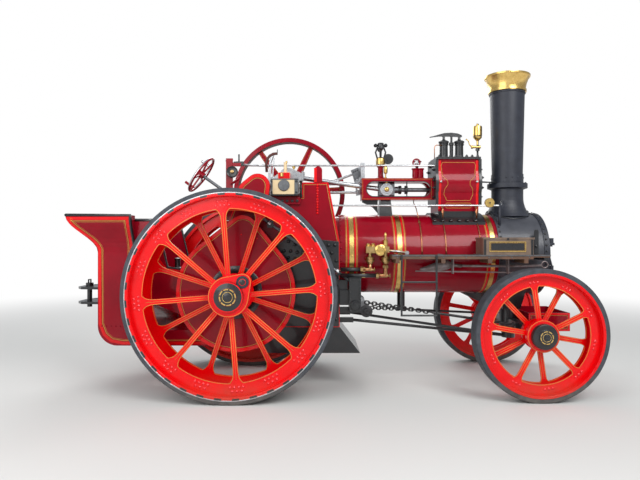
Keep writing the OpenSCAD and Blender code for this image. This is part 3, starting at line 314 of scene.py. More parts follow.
# Matt dark brown-red paint, darker than the crimson, inside the flywheel's rim and on the bent lever.
DARK_BROWN_RED = Finish(
    "dark_brown_red_paint", "#5A2A22", "#3A1A16", roughness=0.6, spread=0.12, patch=0.9,
    patch_mm=60, grain_mm=3, relief=0.15,
)
# Vivid red enamel, brushed on edges, borders and small fittings.
BORDER_RED = Finish(
    "border_red_enamel", "#E0060E", "#C0060C", roughness=0.26, spread=0.05, coat=0.25, specular=0.25, patch=0.3,
    patch_mm=120, grain_mm=5, relief=0.03,
)
# The wheels' enamel on the rivets' heads under a thick gloss coat, in a lighter red than the wheels as a painted
# highlight.
RIVET_RED_WITH_PAINTED_HIGHLIGHT = Finish(
    "rivet_red_with_painted_highlight", "#F0323A", "#E01820", Slot.WHEEL_RED, roughness=0.18, coat=0.9, patch=0.3,
    patch_mm=40, grain_mm=3, relief=0.02,
)

# The finish of each node of the CAD; a wheel's or tyre's name stands for both sides.
NODES: dict[Finish, str] = {
    CRIMSON: "boiler_barrel firebox hornplates gear_covers crank_guard trunk_guide cylinder_block tender_tank "
    "tender_sides front_tray flywheel steering_wheel",
    BLACK_ENAMEL: "ashpan perch_bracket rear_axle motion_bracket cylinder_flanges safety_valves governor side_step "
    "steering_gear drawbar_hitch front_axle fire_door",
    SMOKEBOX_BLACK: "smokebox_front chimney_base chimney_barrel smokebox_door",
    ASHED_BLACK: "smokebox",
    BRASS: "boiler_bands chimney_cap whistle",
    GUNMETAL: "feed_pump",
    BRIGHT_STEEL: "crankshaft connecting_rod valve_gear control_rods",
    DULL_STEEL: "crosshead steering_column",
    OILED_STEEL: "steering_chains",
    WORN_STEEL: "fire_irons",
    CREAM: "crank_bearings",
    PLANK: "footboard",
    OAK: "name_box box_lid",
    SIGNAL_RED: "front_wheel_right front_wheel_left rear_wheel_right rear_wheel_left",
    RUBBER: "front_tyre_right front_tyre_left rear_tyre_right rear_tyre_left",
}


@dataclass(frozen=True)
class Lamp:
    """A soft square lamp: its place, its power in watts and its width in metres."""

    name: str
    place: Point
    energy: float
    size: float


@dataclass
class Studio:
    """Camera, lamps, floor and background.

    Attributes:
        eye: Camera's place, from the rear axle, the centre line and the ground.
        focal_px: Focal length in pixels of the photograph.
        frame_px: Width of the photograph.
        sensor_mm: Width of the camera's sensor.
        target: What the lamps point at.
        floor_fade: Distances at which the floor starts and ends fading to white.
    """

    eye: Point = (0.83, -6.05, 1.505)
    focal_px: float = 555.0
    frame_px: float = 640.0
    sensor_mm: float = 36.0
    target: Point = (0.3, 0.0, 1.2)
    floor_fade: Pair = (4.5, 12.0)
    lamps: tuple[Lamp, ...] = (
        Lamp("key", (3.6, -6.5, 6.5), 470.0, 4.5),
        Lamp("fill", (-3.5, -5.0, 4.0), 200.0, 5.0),
        Lamp("back", (-1.0, 6.0, 6.0), 320.0, 5.0),
    )

    def camera(self) -> None:
        """Sets the camera at the photograph's place and angle, level and square to the engine."""
        data = bpy.data.cameras.new("camera")
        data.sensor_width = self.sensor_mm
        data.lens = self.focal_px / self.frame_px * self.sensor_mm
        camera = bpy.data.objects.new("camera", data)
        camera.location = at(*self.eye)
        camera.rotation_euler = (math.radians(90.0), 0.0, 0.0)
        bpy.context.collection.objects.link(camera)
        bpy.context.scene.camera = camera

    def light(self) -> None:
        """Adds the soft lamps."""
        for lamp in self.lamps:
            data = bpy.data.lights.new(lamp.name, "AREA")
            data.energy, data.size = lamp.energy, lamp.size
            made = bpy.data.objects.new(lamp.name, data)
            made.location = lamp.place
            way = Vector(self.target) - Vector(lamp.place)
            made.rotation_euler = way.to_track_quat("-Z", "Y").to_euler()
            bpy.context.collection.objects.link(made)

    def world(self) -> None:
        """Makes a soft grey sky that the camera sees as white."""
        world = bpy.data.worlds.new("world")
        bpy.context.scene.world = world
        tree = empty_tree(world)
        rays = add_node(tree, "LightPath").outputs
        seen = add_node(
            tree, "Math", {"operation": "MAXIMUM"}, {0: rays["Is Camera Ray"], 1: rays["Is Transmission Ray"]}
        )
        soft = add_node(tree, "Background", {"Color": linear("#E6E9EE"), "Strength": 0.55})
        white = add_node(tree, "Background", {"Color": linear("#FFFFFF"), "Strength": 1.0})
        mixed = add_node(
            tree, "MixShader", None,
            {0: seen.outputs["Value"], 1: soft.outputs["Background"], 2: white.outputs["Background"]},
        )
        add_node(tree, "OutputWorld", None, {"Surface": mixed.outputs["Shader"]})

    def ground(self) -> None:
        """Lays a pale floor that fades to white away from the engine."""
        bpy.ops.object.select_all(action="DESELECT")
        bpy.ops.mesh.primitive_circle_add(vertices=96, radius=60.0, fill_type="NGON")
        floor = bpy.context.active_object
        floor.name = "floor"
        material = bpy.data.materials.new("pale_floor")
        tree = empty_tree(material)
        pale = add_node(tree, "BsdfPrincipled", {"Base Color": linear("#D9D9D6"), "Roughness": 0.9})
        white = add_node(tree, "Emission", {"Color": linear("#FFFFFF"), "Strength": 1.0})
        place = add_node(tree, "TexCoord").outputs["Object"]
        away = add_node(tree, "VectorMath", {"operation": "LENGTH"}, {0: place})
        start, end = self.floor_fade
        fade = add_node(
            tree, "MapRange", {"From Min": start, "From Max": end, "interpolation_type": "SMOOTHSTEP"},
            {"Value": away.outputs["Value"]},
        )
        mixed = add_node(
            tree, "MixShader", None, {0: fade.outputs["Result"], 1: pale.outputs["BSDF"], 2: white.outputs["Emission"]}
        )
        add_node(tree, "OutputMaterial", None, {"Surface": mixed.outputs["Shader"]})
        floor.data.materials.append(material)

    def build(self) -> None:
        """Sets the whole studio."""
        self.camera()
        self.light()
        self.world()
        self.ground()
        bpy.context.scene.view_settings.view_transform = "Standard"


# Frames that stand a flat piece, drawn in x and y with z towards the viewer,
# on a face of the engine: the right-hand side, the left-hand side, the top, the front and the back.
FACE_RIGHT = Matrix(((1, 0, 0, 0), (0, 0, -1, 0), (0, 1, 0, 0), (0, 0, 0, 1)))
FACE_LEFT = Matrix(((-1, 0, 0, 0), (0, 0, 1, 0), (0, 1, 0, 0), (0, 0, 0, 1)))
FACE_TOP = Matrix.Identity(4)
FACE_FRONT = Matrix(((0, 0, 1, 0), (1, 0, 0, 0), (0, 1, 0, 0), (0, 0, 0, 1)))
FACE_BACK = Matrix(((0, 0, -1, 0), (-1, 0, 0, 0), (0, 1, 0, 0), (0, 0, 0, 1)))


def turn(degrees: float, axis: str = "Z") -> Matrix:
    """Gives a turn about a local axis."""
    return Matrix.Rotation(math.radians(degrees), 4, axis)


def shift(x: float, y: float, z: float = 0.0) -> Matrix:
    """Gives a move along the local axes."""
    return Matrix.Translation((x, y, z))


def stand(face: Matrix, x: float, y: float, z: float) -> Matrix:
    """Puts a face's frame at a place measured from the rear axle."""
    return Matrix.Translation(at(x, y, z)) @ face


def right_face(y: float) -> Matrix:
    """Gives the frame of a right-hand face whose x and y are measured from the rear axle and the ground."""
    return stand(FACE_RIGHT, 0.0, y, 0.0)


def facing(x: float, y: float, z: float, up: str = "X") -> Matrix:
    """Gives a face that looks along a direction."""
    return Vector((x, y, z)).to_track_quat("Z", up).to_matrix().to_4x4()


def polar(radius: float, degrees: float) -> Pair:
    """Gives x and y from a radius and an angle."""
    angle = math.radians(degrees)
    return radius * math.cos(angle), radius * math.sin(angle)


def arc(radius: float, start: float, end: float, steps: int) -> list[Pair]:
    """Gives points along an arc about the origin, both ends included."""
    return [polar(radius, start + (end - start) * i / steps) for i in range(steps + 1)]


def grid(x0: float, x1: float, count: int, y: float) -> list[Pair]:
    """Gives places evenly along a line of one height."""
    return [(x0 + (x1 - x0) * i / max(count - 1, 1), y) for i in range(count)]


def on_face(face: Matrix, places: Iterable[Pair]) -> list[Matrix]:
    """Gives frames at places on a face."""
    return [face @ shift(x, y) for x, y in places]


def around(frame_at: Matrix, radius: float, count: int, first: float = 0.0) -> list[Matrix]:
    """Gives frames evenly round a circle on a face."""
    return [frame_at @ shift(*polar(radius, first + 360.0 / count * i)) for i in range(count)]


def rectangle(x0: float, y0: float, x1: float, y1: float) -> list[Pair]:
    """Gives a rectangle's corners, counter-clockwise."""
    return [(x0, y0), (x1, y0), (x1, y1), (x0, y1)]


def belt(c1: Pair, r1: float, c2: Pair, r2: float) -> list[Pair]:
    """Gives the outline of a belt round two circles, counter-clockwise."""
    lean = math.degrees(math.atan2(c2[1] - c1[1], c2[0] - c1[0]))
    open_angle = math.degrees(math.acos((r1 - r2) / math.dist(c1, c2)))
    first = arc(r1, lean + open_angle, lean - open_angle + 360.0, 40)
    second = arc(r2, lean - open_angle, lean + open_angle, 20)
    return [(c1[0] + x, c1[1] + y) for x, y in first] + [(c2[0] + x, c2[1] + y) for x, y in second]


def inset(outline: Outline, depth: float) -> list[Pair]:
    """Moves a counter-clockwise outline inwards by a depth, corner by corner."""
    moved_in = []
    count = len(outline)
    for i in range(count):
        before, corner, after = (Vector(outline[(i + k) % count]) for k in (-1, 0, 1))
        u, v = (corner - before).normalized(), (after - corner).normalized()
        mitre = Vector((-u.y, u.x)) + Vector((-v.y, v.x))
        spot = corner + mitre * (2 * depth / max(mitre.length_squared, 0.5))
        moved_in.append((spot.x, spot.y))
    return moved_in


def pick(pieces: Sequence[Piece]) -> Piece:
    """Selects pieces alone, with the first one active."""
    bpy.ops.object.select_all(action="DESELECT")
    for piece in pieces:
        piece.select_set(True)
    bpy.context.view_layer.objects.active = pieces[0]
    return pieces[0]


def edit(piece: Piece) -> None:
    """Opens a piece's mesh for editing with all of it selected."""
    pick([piece])
    bpy.ops.object.mode_set(mode="EDIT")
    bpy.ops.mesh.select_all(action="SELECT")


def end_edit() -> None:
    """Leaves edit mode."""
    bpy.ops.object.mode_set(mode="OBJECT")


def close_up(piece: Piece) -> Piece:
    """Merges doubles and turns the faces outwards."""
    edit(piece)
    bpy.ops.mesh.remove_doubles(threshold=1e-6)
    bpy.ops.mesh.normals_make_consistent(inside=False)
    end_edit()
    return piece


def smooth(piece: Piece, degrees: float = 35.0) -> Piece:
    """Shades a piece smooth across all but its sharp edges."""
    pick([piece])
    bpy.ops.object.shade_smooth_by_angle(angle=math.radians(degrees))
    return piece


def moved(piece: Piece, place: Matrix) -> Piece:
    """Puts a piece in a place and bakes the place into its mesh."""
    piece.matrix_world = place @ piece.matrix_world
    pick([piece])
    bpy.ops.object.transform_apply(location=True, rotation=True, scale=True)
    return piece


def linked(mesh: bmesh.types.BMesh) -> Piece:
    """Makes a drawn mesh an object of the scene."""
    data = bpy.data.meshes.new("drawn")
    mesh.to_mesh(data)
    mesh.free()
    piece = bpy.data.objects.new("drawn", data)
    bpy.context.collection.objects.link(piece)
    return piece


def curve_piece(
    points: Sequence[Sequence[float]], closed: bool = False, radius: float = 0.0, flat: bool = False,
    half: float = 0.0, fine: int = 0,
) -> Piece:
    """Draws a curve through points and makes it a mesh.

    Args:
        points: Points of two or three values.
        closed: Whether the curve runs back to its first point.
        radius: Radius of its round section or of its rounded edge.
        flat: Whether it is a filled outline.
        half: Half the thickness of a filled outline.
        fine: Steps in a quarter of the round section.

    Returns:
        The mesh object.
    """
    data = bpy.data.curves.new("drawn", "CURVE")
    data.dimensions = "2D" if flat else "3D"
    line = data.splines.new("POLY")
    line.points.add(len(points) - 1)
    for target, point in zip(line.points, points):
        target.co = (point[0], point[1], point[2] if len(point) > 2 else 0.0, 1.0)
    line.use_cyclic_u = closed
    data.bevel_depth = radius
    data.bevel_resolution = fine
    data.extrude = half
    data.fill_mode = "BOTH" if flat else "FULL"
    data.use_fill_caps = not flat and not closed
    piece = bpy.data.objects.new("drawn", data)
    bpy.context.collection.objects.link(piece)
    pick([piece])
    bpy.ops.object.convert(target="MESH")
    return close_up(bpy.context.view_layer.objects.active)


def bead(points: Sequence[Sequence[float]], radius: float, closed: bool = False, fine: int = 1) -> Piece:
    """Makes a round bar or pipe along points of the frame."""
    return curve_piece(points, closed, radius, fine=fine)


def bar(points: Iterable[Point], radius: float, fine: int = 2) -> Piece:
    """Makes a round bar or pipe along points measured from the rear axle."""
    return bead([at(*p) for p in points], radius, fine=fine)


def painted(points: Outline, width: float, closed: bool = True) -> Piece:
    """Lays a flat painted line along points."""
    return moved(bead(points, width / 2, closed), Matrix.Scale(0.3, 4, (0, 0, 1)))


def plate(outline: Outline, thick: float, edge: float = 0.0) -> Piece:
    """Makes a flat plate from an outline in x and y, its back on z = 0, with rounded edges."""
    piece = curve_piece(outline, True, edge, True, thick / 2 - edge, 1)
    if edge:
        # the rounding swells the outline, so the plate is drawn in again
        size = piece.dimensions.copy()
        middle = sum((Vector(corner) for corner in piece.bound_box), Vector()) / 8
        factors = Matrix.Diagonal((1 - 2 * edge / size.x, 1 - 2 * edge / size.y, 1.0, 1.0))
        moved(piece, Matrix.Translation(middle) @ factors @ Matrix.Translation(-middle))
    return moved(piece, shift(0, 0, thick / 2))


def band_between(outer: Outline, inner: Outline, thick: float) -> Piece:
    """Makes a flat closed band between two outlines that have as many points each."""
    mesh = bmesh.new()
    levels = ((outer, 0.0), (outer, thick), (inner, thick), (inner, 0.0))
    rings = [[mesh.verts.new((x, y, z)) for x, y in loop] for loop, z in levels]
    count = len(outer)
    for k in range(4):
        low, high = rings[k], rings[(k + 1) % 4]
        for i in range(count):
            j = (i + 1) % count
            mesh.faces.new((low[i], low[j], high[j], high[i]))
    return close_up(linked(mesh))


def slab(low: Point, high: Point, edge: float = 0.002) -> Piece:
    """Makes a block between two places, measured from the rear axle, with bevelled edges."""
    size = Vector(high) - Vector(low)
    middle = (Vector(high) + Vector(low)) / 2
    bpy.ops.mesh.primitive_cube_add(size=1.0, location=at(*middle), scale=size)
    piece = bpy.context.active_object
    bpy.ops.object.transform_apply(location=True, rotation=True, scale=True)
    if edge:
        edit(piece)
        bpy.ops.mesh.bevel(offset=edge, segments=1)
        end_edit()
    return piece


def turned(profile: Outline, steps: int = 48, as_drawn: bool = False) -> Piece:
    """Spins a profile about the local z axis, as on a lathe.

    Args:
        profile: Radius and height pairs. One that ends on the axis is a solid, whose first pair is its
            back's middle and left out; any other is a ring, closed to its first pair.
        steps: Steps of the full turn.
        as_drawn: Whether the profile is spun without either.

    Returns:
        The turned piece.
    """
    pairs = [(0.0, 0.0), *profile] if profile[-1][0] == 0.0 else [*profile, profile[0]]
    if as_drawn:
        pairs = [*profile]
    piece = curve_piece([(r, 0.0, h) for r, h in pairs])
    edit(piece)
    bpy.ops.mesh.spin(steps=steps, angle=math.tau, center=(0, 0, 0), axis=(0, 0, 1))
    end_edit()
    return smooth(close_up(piece))


def ring_profile(radius: float, thick: float, high: float, corner: float) -> list[Pair]:
    """Gives a ring's profile with its two outer corners rounded."""
    inner, outer, top = radius - thick, radius, high - corner
    outer_corner = [(outer - corner + x, top + y) for x, y in arc(corner, 0.0, 90.0, 3)]
    inner_corner = [(inner + corner + x, top + y) for x, y in arc(corner, 90.0, 180.0, 3)]
    return [(inner, 0.0), (outer, 0.0), *outer_corner, *inner_corner]


def dome(radius: float, high: float, sides: int = 10) -> Piece:
    """Makes a rivet's head: half of a low ball with a closed back."""
    bpy.ops.mesh.primitive_uv_sphere_add(segments=sides, ring_count=6, radius=radius)
    piece = bpy.context.active_object
    edit(piece)
    bpy.ops.mesh.bisect(plane_co=(0, 0, 0), plane_no=(0, 0, 1), clear_inner=True, use_fill=True)
    bpy.ops.mesh.select_all(action="SELECT")
    bpy.ops.transform.resize(value=(1.0, 1.0, high / radius))
    end_edit()
    return smooth(close_up(piece), 50.0)


def nut(across: float, high: float, stud: float = 0.0) -> Piece:
    """Makes a hexagon nut with chamfered corners, and the end of its stud.

    Args:
        across: Size across the corners.
        high: Height of the nut.
        stud: How far the stud's end stands out of the nut.

    Returns:
        The nut with its stud.
    """
    bpy.ops.mesh.primitive_cylinder_add(vertices=6, radius=across / 2, depth=high, location=(0, 0, high / 2))
    piece = bpy.context.active_object
    bpy.ops.object.mode_set(mode="EDIT")
    bpy.ops.mesh.select_mode(type="FACE")
    bpy.ops.mesh.select_all(action="DESELECT")
    mesh = bmesh.from_edit_mesh(piece.data)
    for face in mesh.faces:
        face.select = face.normal.z > 0.9
    bmesh.update_edit_mesh(piece.data)
    bpy.ops.mesh.inset(thickness=across * 0.1, depth=0.0)
    bpy.ops.transform.translate(value=(0, 0, across * 0.05))
    if stud:
        bpy.ops.mesh.inset(thickness=across * 0.12, depth=0.0)
        bpy.ops.mesh.extrude_region_move(TRANSFORM_OT_translate={"value": (0, 0, stud)})
    end_edit()
    return moved(piece, Matrix.Identity(4))


def joined(parts: Sequence[Piece]) -> Piece:
    """Joins pieces to one."""
    active = pick(parts)
    if len(parts) > 1:
        bpy.ops.object.join()
    return active


def copies(model: Piece, places: Iterable[Matrix]) -> Piece:
    """Copies a piece to places, each copy with its own mesh, and joins the copies.

    Args:
        model: The piece to copy; it is used up.
        places: Where the copies go.

    Returns:
        The joined piece.
    """
    made = []
    for place in places:
        copy = model.copy()
        copy.data = model.data.copy()
        bpy.context.collection.objects.link(copy)
        copy.matrix_world = place @ model.matrix_world
        made.append(copy)
    bpy.data.objects.remove(model, do_unlink=True)
    pick(made)
    bpy.ops.object.transform_apply(location=True, rotation=True, scale=True)
    return joined(made)


def mirrored(piece: Piece) -> Piece:
    """Copies a finished piece to the other side of the centre line."""
    copy = piece.copy()
    copy.data = piece.data.copy()
    bpy.context.collection.objects.link(copy)
    copy.parent = None
    copy.matrix_world = Matrix.Scale(-1, 4, (0, 1, 0))
    pick([copy])
    bpy.ops.object.transform_apply(location=True, rotation=True, scale=True)
    return close_up(copy)


def fitted(piece: Piece, name: str, finish: Finish, body: str = "engine") -> Piece:
    """Names a piece, gives it its finish and makes it ride on its body."""
    piece.name = piece.data.name = name
    piece.data.materials.clear()
    piece.data.materials.append(finish.material())
    for face in piece.data.polygons:
        face.material_index = 0
    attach(piece, body)
    log.info("%s on %s, %d faces", name, body, len(piece.data.polygons))
    return piece


def both(piece: Piece, name: str, finish: Finish, body: str = "engine", own: bool = False) -> None:
    """Fits a right-hand piece and its mirror image on the left.

    Args:
        piece: The right-hand piece.
        name: Start of both names.
        finish: Finish of both.
        body: Body of both, or the start of its name.
        own: Whether each side has its own body, as the wheels do.
    """
    other = mirrored(piece)
    for part, side in ((piece, "right"), (other, "left")):
        fitted(part, f"{name}_{side}", finish, f"{body}_{side}" if own else body)


def lathe(
    name: str, profile: Outline, place: Matrix, finish: Finish, steps: int = 48, body: str = "engine"
) -> Piece:
    """Turns a profile and fits it at a place."""
    return fitted(moved(turned(profile, steps), place), name, finish, body)


def nuts(
    name: str, places: Iterable[Matrix], across: float, high: float, stud: float, finish: Finish,
    body: str = "engine",
) -> Piece:
    """Sets hexagon nuts at places."""
    return fitted(copies(nut(across, high, stud), places), name, finish, body)


def heads(places: Iterable[Matrix], radius: float, rise: float = 0.7, sides: int = 8) -> Piece:
    """Copies one rivet's head to places."""
    return copies(dome(radius, radius * rise, sides), places)


def rivets(name: str, places: Iterable[Matrix], radius: float, finish: Finish) -> Piece:
    """Sets rivets at places."""
    return fitted(heads(places, radius), name, finish)


def pipe(name: str, points: Iterable[Point], radius: float, finish: Finish, fine: int = 2) -> Piece:
    """Fits a round bar or pipe on the engine, along points measured from the rear axle."""
    return fitted(bar(points, radius, fine), name, finish)


def on_back(face: Matrix, points: Iterable[Point], radius: float, fine: int = 2) -> Piece:
    """Makes a round bar along points of a face."""
    return bead([face @ Vector(point) for point in points], radius, fine=fine)


def bow(x: float, half: float, low: float, high: float) -> list[Point]:
    """Gives the points of an upright handle across the engine."""
    return [(x, -half, low), (x, -half, high), (x, half, high), (x, half, low)]


# Makes a round line on a wheel flat.
FLAT_LINE = Matrix.Scale(0.35, 4, (0, 0, 1))


@dataclass
class SpokedWheel:
    """Dress of a spoked wheel: tyre, rim, lining, rivets and hub.

    Attributes:
        name: Start of the pieces' and bodies' names.
        centre: Axle's place forward of the rear axle and above the ground.
        outer: Outer edge of the rim from the centre line.
        radius: Radius over the rubber.
        rubber: Thickness of the rubber.
        rim: Thickness of the rim.
        ring: Inner radius of the flat rings.
        hub: Radius of the hub's flange where the spokes leave it.
        planes: Set-back from the rim's outer edge and first spoke's angle, for each plane of spokes.
        spokes: Number of spokes in each plane.
        foot: Width of a spoke's foot.
        cap: Radius and height of the black hub cap, then of its end, and how far the small boss stands on that.
        rivet_rows: Radius and angles from the spoke's middle of the rivets at each foot.
        rivet: Radius of a rivet's head.
        spoke_half: Half the width of a spoke.
        bay_inset: How far a bay's line lies inside the bay's edge.
        line: Radius of the painted line.
        band_finish: Finish of the band against the rubber.
    """

    name: str
    centre: Pair
    outer: float
    radius: float
    rubber: float
    rim: float
    ring: float
    hub: float
    planes: tuple[Pair, ...]
    spokes: int
    foot: float
    cap: tuple[float, float, float, float, float]
    rivet_rows: tuple[tuple[float, tuple[float, ...]], ...]
    rivet: float = 0.012
    spoke_half: float = 0.025
    bay_inset: float = 0.005
    line: float = 0.0022
    band_finish: Finish = BRIGHT_STEEL

    def fit(self, piece: Piece, part: str, finish: Finish) -> None:
        """Fits a right-hand piece and its mirror image, each on its wheel."""
        both(piece, f"{self.name}_{part}", finish, self.name, own=True)

    def face(self, set_back: float = 0.0) -> Matrix:
        """Gives the frame of the right-hand wheel's face at a depth from the rim's outer edge."""
        x, z = self.centre
        return stand(FACE_RIGHT, x, -(self.outer - set_back), z)

    def spun(self, frame_at: Matrix, count: int, first: float) -> list[Matrix]:
        """Gives frames turned evenly about the axle."""
        return [frame_at @ turn(first + 360.0 / count * i) for i in range(count)]

    def bay(self) -> list[Pair]:
        """Gives the line round the bay between two spokes, inset from its edges."""
        pitch = 360.0 / self.spokes
        root, end = self.hub - 0.02, self.ring + 0.012
        flare = root + 0.72 * (end - root)
        edge = [(self.hub + 0.012, self.spoke_half - self.bay_inset)]
        for i in range(7):
            t = i / 6 * 0.93
            wide = self.spoke_half + (self.foot / 2 - self.spoke_half) * t**5
            edge.append((flare + t * (end - flare), wide - self.bay_inset * (1 - t)))
        last = math.degrees(math.atan2(edge[-1][1], edge[-1][0]))
        middle = arc(self.ring + 0.005, last + 1.0, pitch - last - 1.0, 10)
        cos, sin = polar(1.0, pitch)
        return edge + middle + [(x * cos + y * sin, x * sin - y * cos) for x, y in reversed(edge)]

    def lining(self) -> None:
        """Paints the gold lines round each bay and up each spoke."""
        parts = []
        for set_back, phase in self.planes:
            spoke = [(self.hub + 0.02, 0.0), (self.ring - 0.03, 0.0)]
            lines = [bead(self.bay(), self.line), bead(spoke, self.line * 0.8)]
            model = joined([moved(line, FLAT_LINE) for line in lines])
            parts.append(copies(model, self.spun(self.face(set_back), self.spokes, phase)))
        self.fit(joined(parts), "lining", GOLD_LINE)

    def rivets(self) -> None:
        """Sets the rivets of the spokes' feet on the outer ring, for both planes of spokes."""
        places = [
            self.face(self.planes[0][0]) @ shift(*polar(radius, phase + 360.0 / self.spokes * i + angle))
            for _, phase in self.planes for i in range(self.spokes)
            for radius, angles in self.rivet_rows for angle in angles
        ]
        # The rivets take a lighter red than the wheel, a painted highlight on their heads.
        self.fit(heads(places, self.rivet, 0.85, 10), "rivets", RIVET_RED_WITH_PAINTED_HIGHLIGHT)

    def rim_lip(self) -> None:
        """Rounds the rim's outer edge with a raised lip, and lays the steel band against the rubber."""
        rim = self.radius - self.rubber
        for part, profile, finish in (
            ("rim_lip", ring_profile(rim - 0.004, self.rim - 0.006, 0.004, 0.0038), SIGNAL_RED),
            ("steel_band", ring_profile(rim + 0.006, 0.011, 0.0035, 0.003), self.band_finish),
        ):
            self.fit(moved(turned(profile, 96), self.face()), part, finish)

    def hub_cap(self) -> None:
        """Turns the black hub cap with its end and the brass ring and dashes on that."""
        wide, high, end_wide, end_high, tip = self.cap
        profile = [
            (wide, 0.0), (wide, high - 0.012), (wide - 0.004, high - 0.004), (wide - 0.014, high),
            (end_wide + 0.012, high), (end_wide + 0.006, high + 0.002), (end_wide, high + 0.004),
            (end_wide, end_high - 0.003), (end_wide - 0.003, end_high), (end_wide * 0.36, end_high),
            (end_wide * 0.34, end_high + tip * 0.55), (end_wide * 0.2, end_high + tip * 0.9), (0.0, end_high + tip),
        ]
        self.fit(moved(turned(profile), self.face()), "hub_cap", BLACK_ENAMEL)
        end = self.face() @ shift(0, 0, end_high - 0.0005)
        dash = plate(arc(end_wide * 0.95, -18, 18, 10) + arc(end_wide * 0.82, 18, -18, 10), 0.0015)
        dashes = copies(dash, self.spun(end, 8, 12.0))
        ring = turned(ring_profile(end_wide * 0.60, end_wide * 0.06, 0.002, 0.001))
        self.fit(joined([dashes, moved(ring, end)]), "hub_brass", BRASS)

    def build(self) -> None:
        """Dresses both wheels."""
        self.rim_lip()
        self.lining()
        self.rivets()
        self.hub_cap()


@dataclass
class RearWheels(SpokedWheel):
    """The driving wheels, with the painted shadows in their rim's notched joint, the driving pin and the flange
    lining.
    """

    notch_shadows: int = 36
    pin: Pair = (0.130, 0.134)
    flange_depth: float = -0.015

    def rim_notch_shadows(self) -> None:
        """Lays black blocks along the joint between the rim and the rubber's band, as painted shadows in the joint's
        notches.
        """
        rim = self.radius - self.rubber
        block = plate(arc(rim - 0.004, -2.0, 2.0, 4) + arc(rim - 0.022, 2.0, -2.0, 4), 0.0052)
        self.fit(copies(block, self.spun(self.face(), self.notch_shadows, 4.0)), "notch_shadows", BLACK_ENAMEL)

    def flange(self) -> None:
        """Lines the egg-shaped flange and dresses the driving pin."""
        x, y = self.pin
        far = math.hypot(x, y)
        spread = math.degrees(math.acos((0.185 - 0.078) / far))
        egg = arc(0.179, spread, 360.0 - spread, 40)
        egg += [(px + far, py) for px, py in arc(0.072, -spread, spread, 14)]
        tilt = turn(math.degrees(math.atan2(y, x)))
        line = moved(bead(egg, self.line, closed=True), FLAT_LINE)
        self.fit(moved(line, self.face(self.flange_depth) @ tilt), "flange_line", GOLD_LINE)
        collar = [(0.028, 0.0), (0.057, 0.0), (0.057, 0.006), (0.053, 0.010), (0.030, 0.010), (0.028, 0.007)]
        pin = [(0.0275, 0.0), (0.0275, 0.0195), (0.0245, 0.0215), (0.0, 0.0215)]
        place = self.face(self.flange_depth) @ shift(x, y)
        self.fit(moved(turned(collar, 40), place), "pin_collar", SMOKEBOX_BLACK)
        # The pin's black is a painted shadow of the hollow in its end.
        self.fit(moved(turned(pin, 32), place), "driving_pin_painted_hole_shadow", BLACK_ENAMEL)

    def build(self) -> None:
        """Dresses both driving wheels."""
        super().build()
        self.rim_notch_shadows()
        self.flange()


@dataclass
class FrontWheels(SpokedWheel):
    """The leading wheels, with the lined flange about the hub cap."""

    def flange(self) -> None:
        """Turns the red flange at the cap's foot and lines its edge."""
        low, high, wide, hole = -0.0199, 0.005, 0.150, 0.1203
        ring = [(hole, low), (wide, low), (wide, high - 0.004), (wide - 0.004, high), (hole, high)]
        self.fit(moved(turned(ring, 96), self.face()), "flange", SIGNAL_RED)
        edge = painted(arc(wide - 0.006, 0.0, 354.0, 59), 0.004)
        self.fit(moved(edge, self.face(-high)), "flange_line", GOLD_LINE)

    def build(self) -> None:
        """Dresses both leading wheels."""
        super().build()
        self.flange()


REAR_WHEELS = RearWheels(
    name="rear_wheel", centre=(0.0, 0.99), outer=1.02, radius=0.99, rubber=0.043, rim=0.032,
    ring=0.80, hub=0.19, planes=((0.06, 4.5), (0.346, 27.0)), spokes=8, foot=0.15,
    cap=(0.1375, 0.0515, 0.0805, 0.0606, 0.002),
    rivet_rows=((0.838, (-4.2, -1.4, 1.4, 4.2)), (0.876, (-2.8, 0.0, 2.8))),
)
FRONT_WHEELS = FrontWheels(
    name="front_wheel", centre=(2.88, 0.62), outer=0.96, radius=0.62, rubber=0.049, rim=0.02,
    ring=0.455, hub=0.146, planes=((0.05, 26.0), (0.136, 62.0)), spokes=5, foot=0.105,
    cap=(0.1175, 0.055, 0.0635, 0.082, 0.009), band_finish=SIGNAL_RED,
    rivet_rows=((0.497, (-4.2, 0.0, 4.2)),),
)


@dataclass
class GearCovers:
    """Borders, lines, boss and bolts of the covers inside the right-hand rear wheel."""

    face_y: float = -0.5832
    axle_z: float = 0.99
    border: float = 0.034

    def lined(self, name: str, outline: list[Pair]) -> None:
        """Paints a bright border and a gold line inside an outline."""
        face = right_face(self.face_y)
        edge = band_between(outline, inset(outline, self.border), 0.0012)
        fitted(moved(edge, face), f"{name}_border", BORDER_RED)
        fitted(moved(painted(inset(outline, self.border + 0.008), 0.005), face), f"{name}_line", GOLD_LINE)

    def build(self) -> None:
        """Dresses both covers."""
        self.lined("drive_cover", belt((0.0, self.axle_z), 0.588, (0.07, 1.6), 0.148))
        self.lined("arched_cover", belt((0.215, 2.04), 0.118, (0.17, 1.96), 0.153))
        face = stand(FACE_RIGHT, 0.0, self.face_y, self.axle_z)
        ring = [(0.192, 0.0), (0.262, 0.0), (0.262, 0.006), (0.256, 0.010), (0.198, 0.010), (0.192, 0.006)]
        lathe("drive_cover_boss", ring, face, BLACK_ENAMEL, 64)
        bolts = around(face @ shift(0, 0, 0.010), 0.228, 16, 6.0)
        nuts("drive_cover_bolts", bolts, 0.026, 0.011, 0.004, BLACK_ENAMEL)
        nuts("cover_flange_bolts", around(face, 0.572, 22, 150.0)[:19], 0.016, 0.006, 0.0, BORDER_RED)


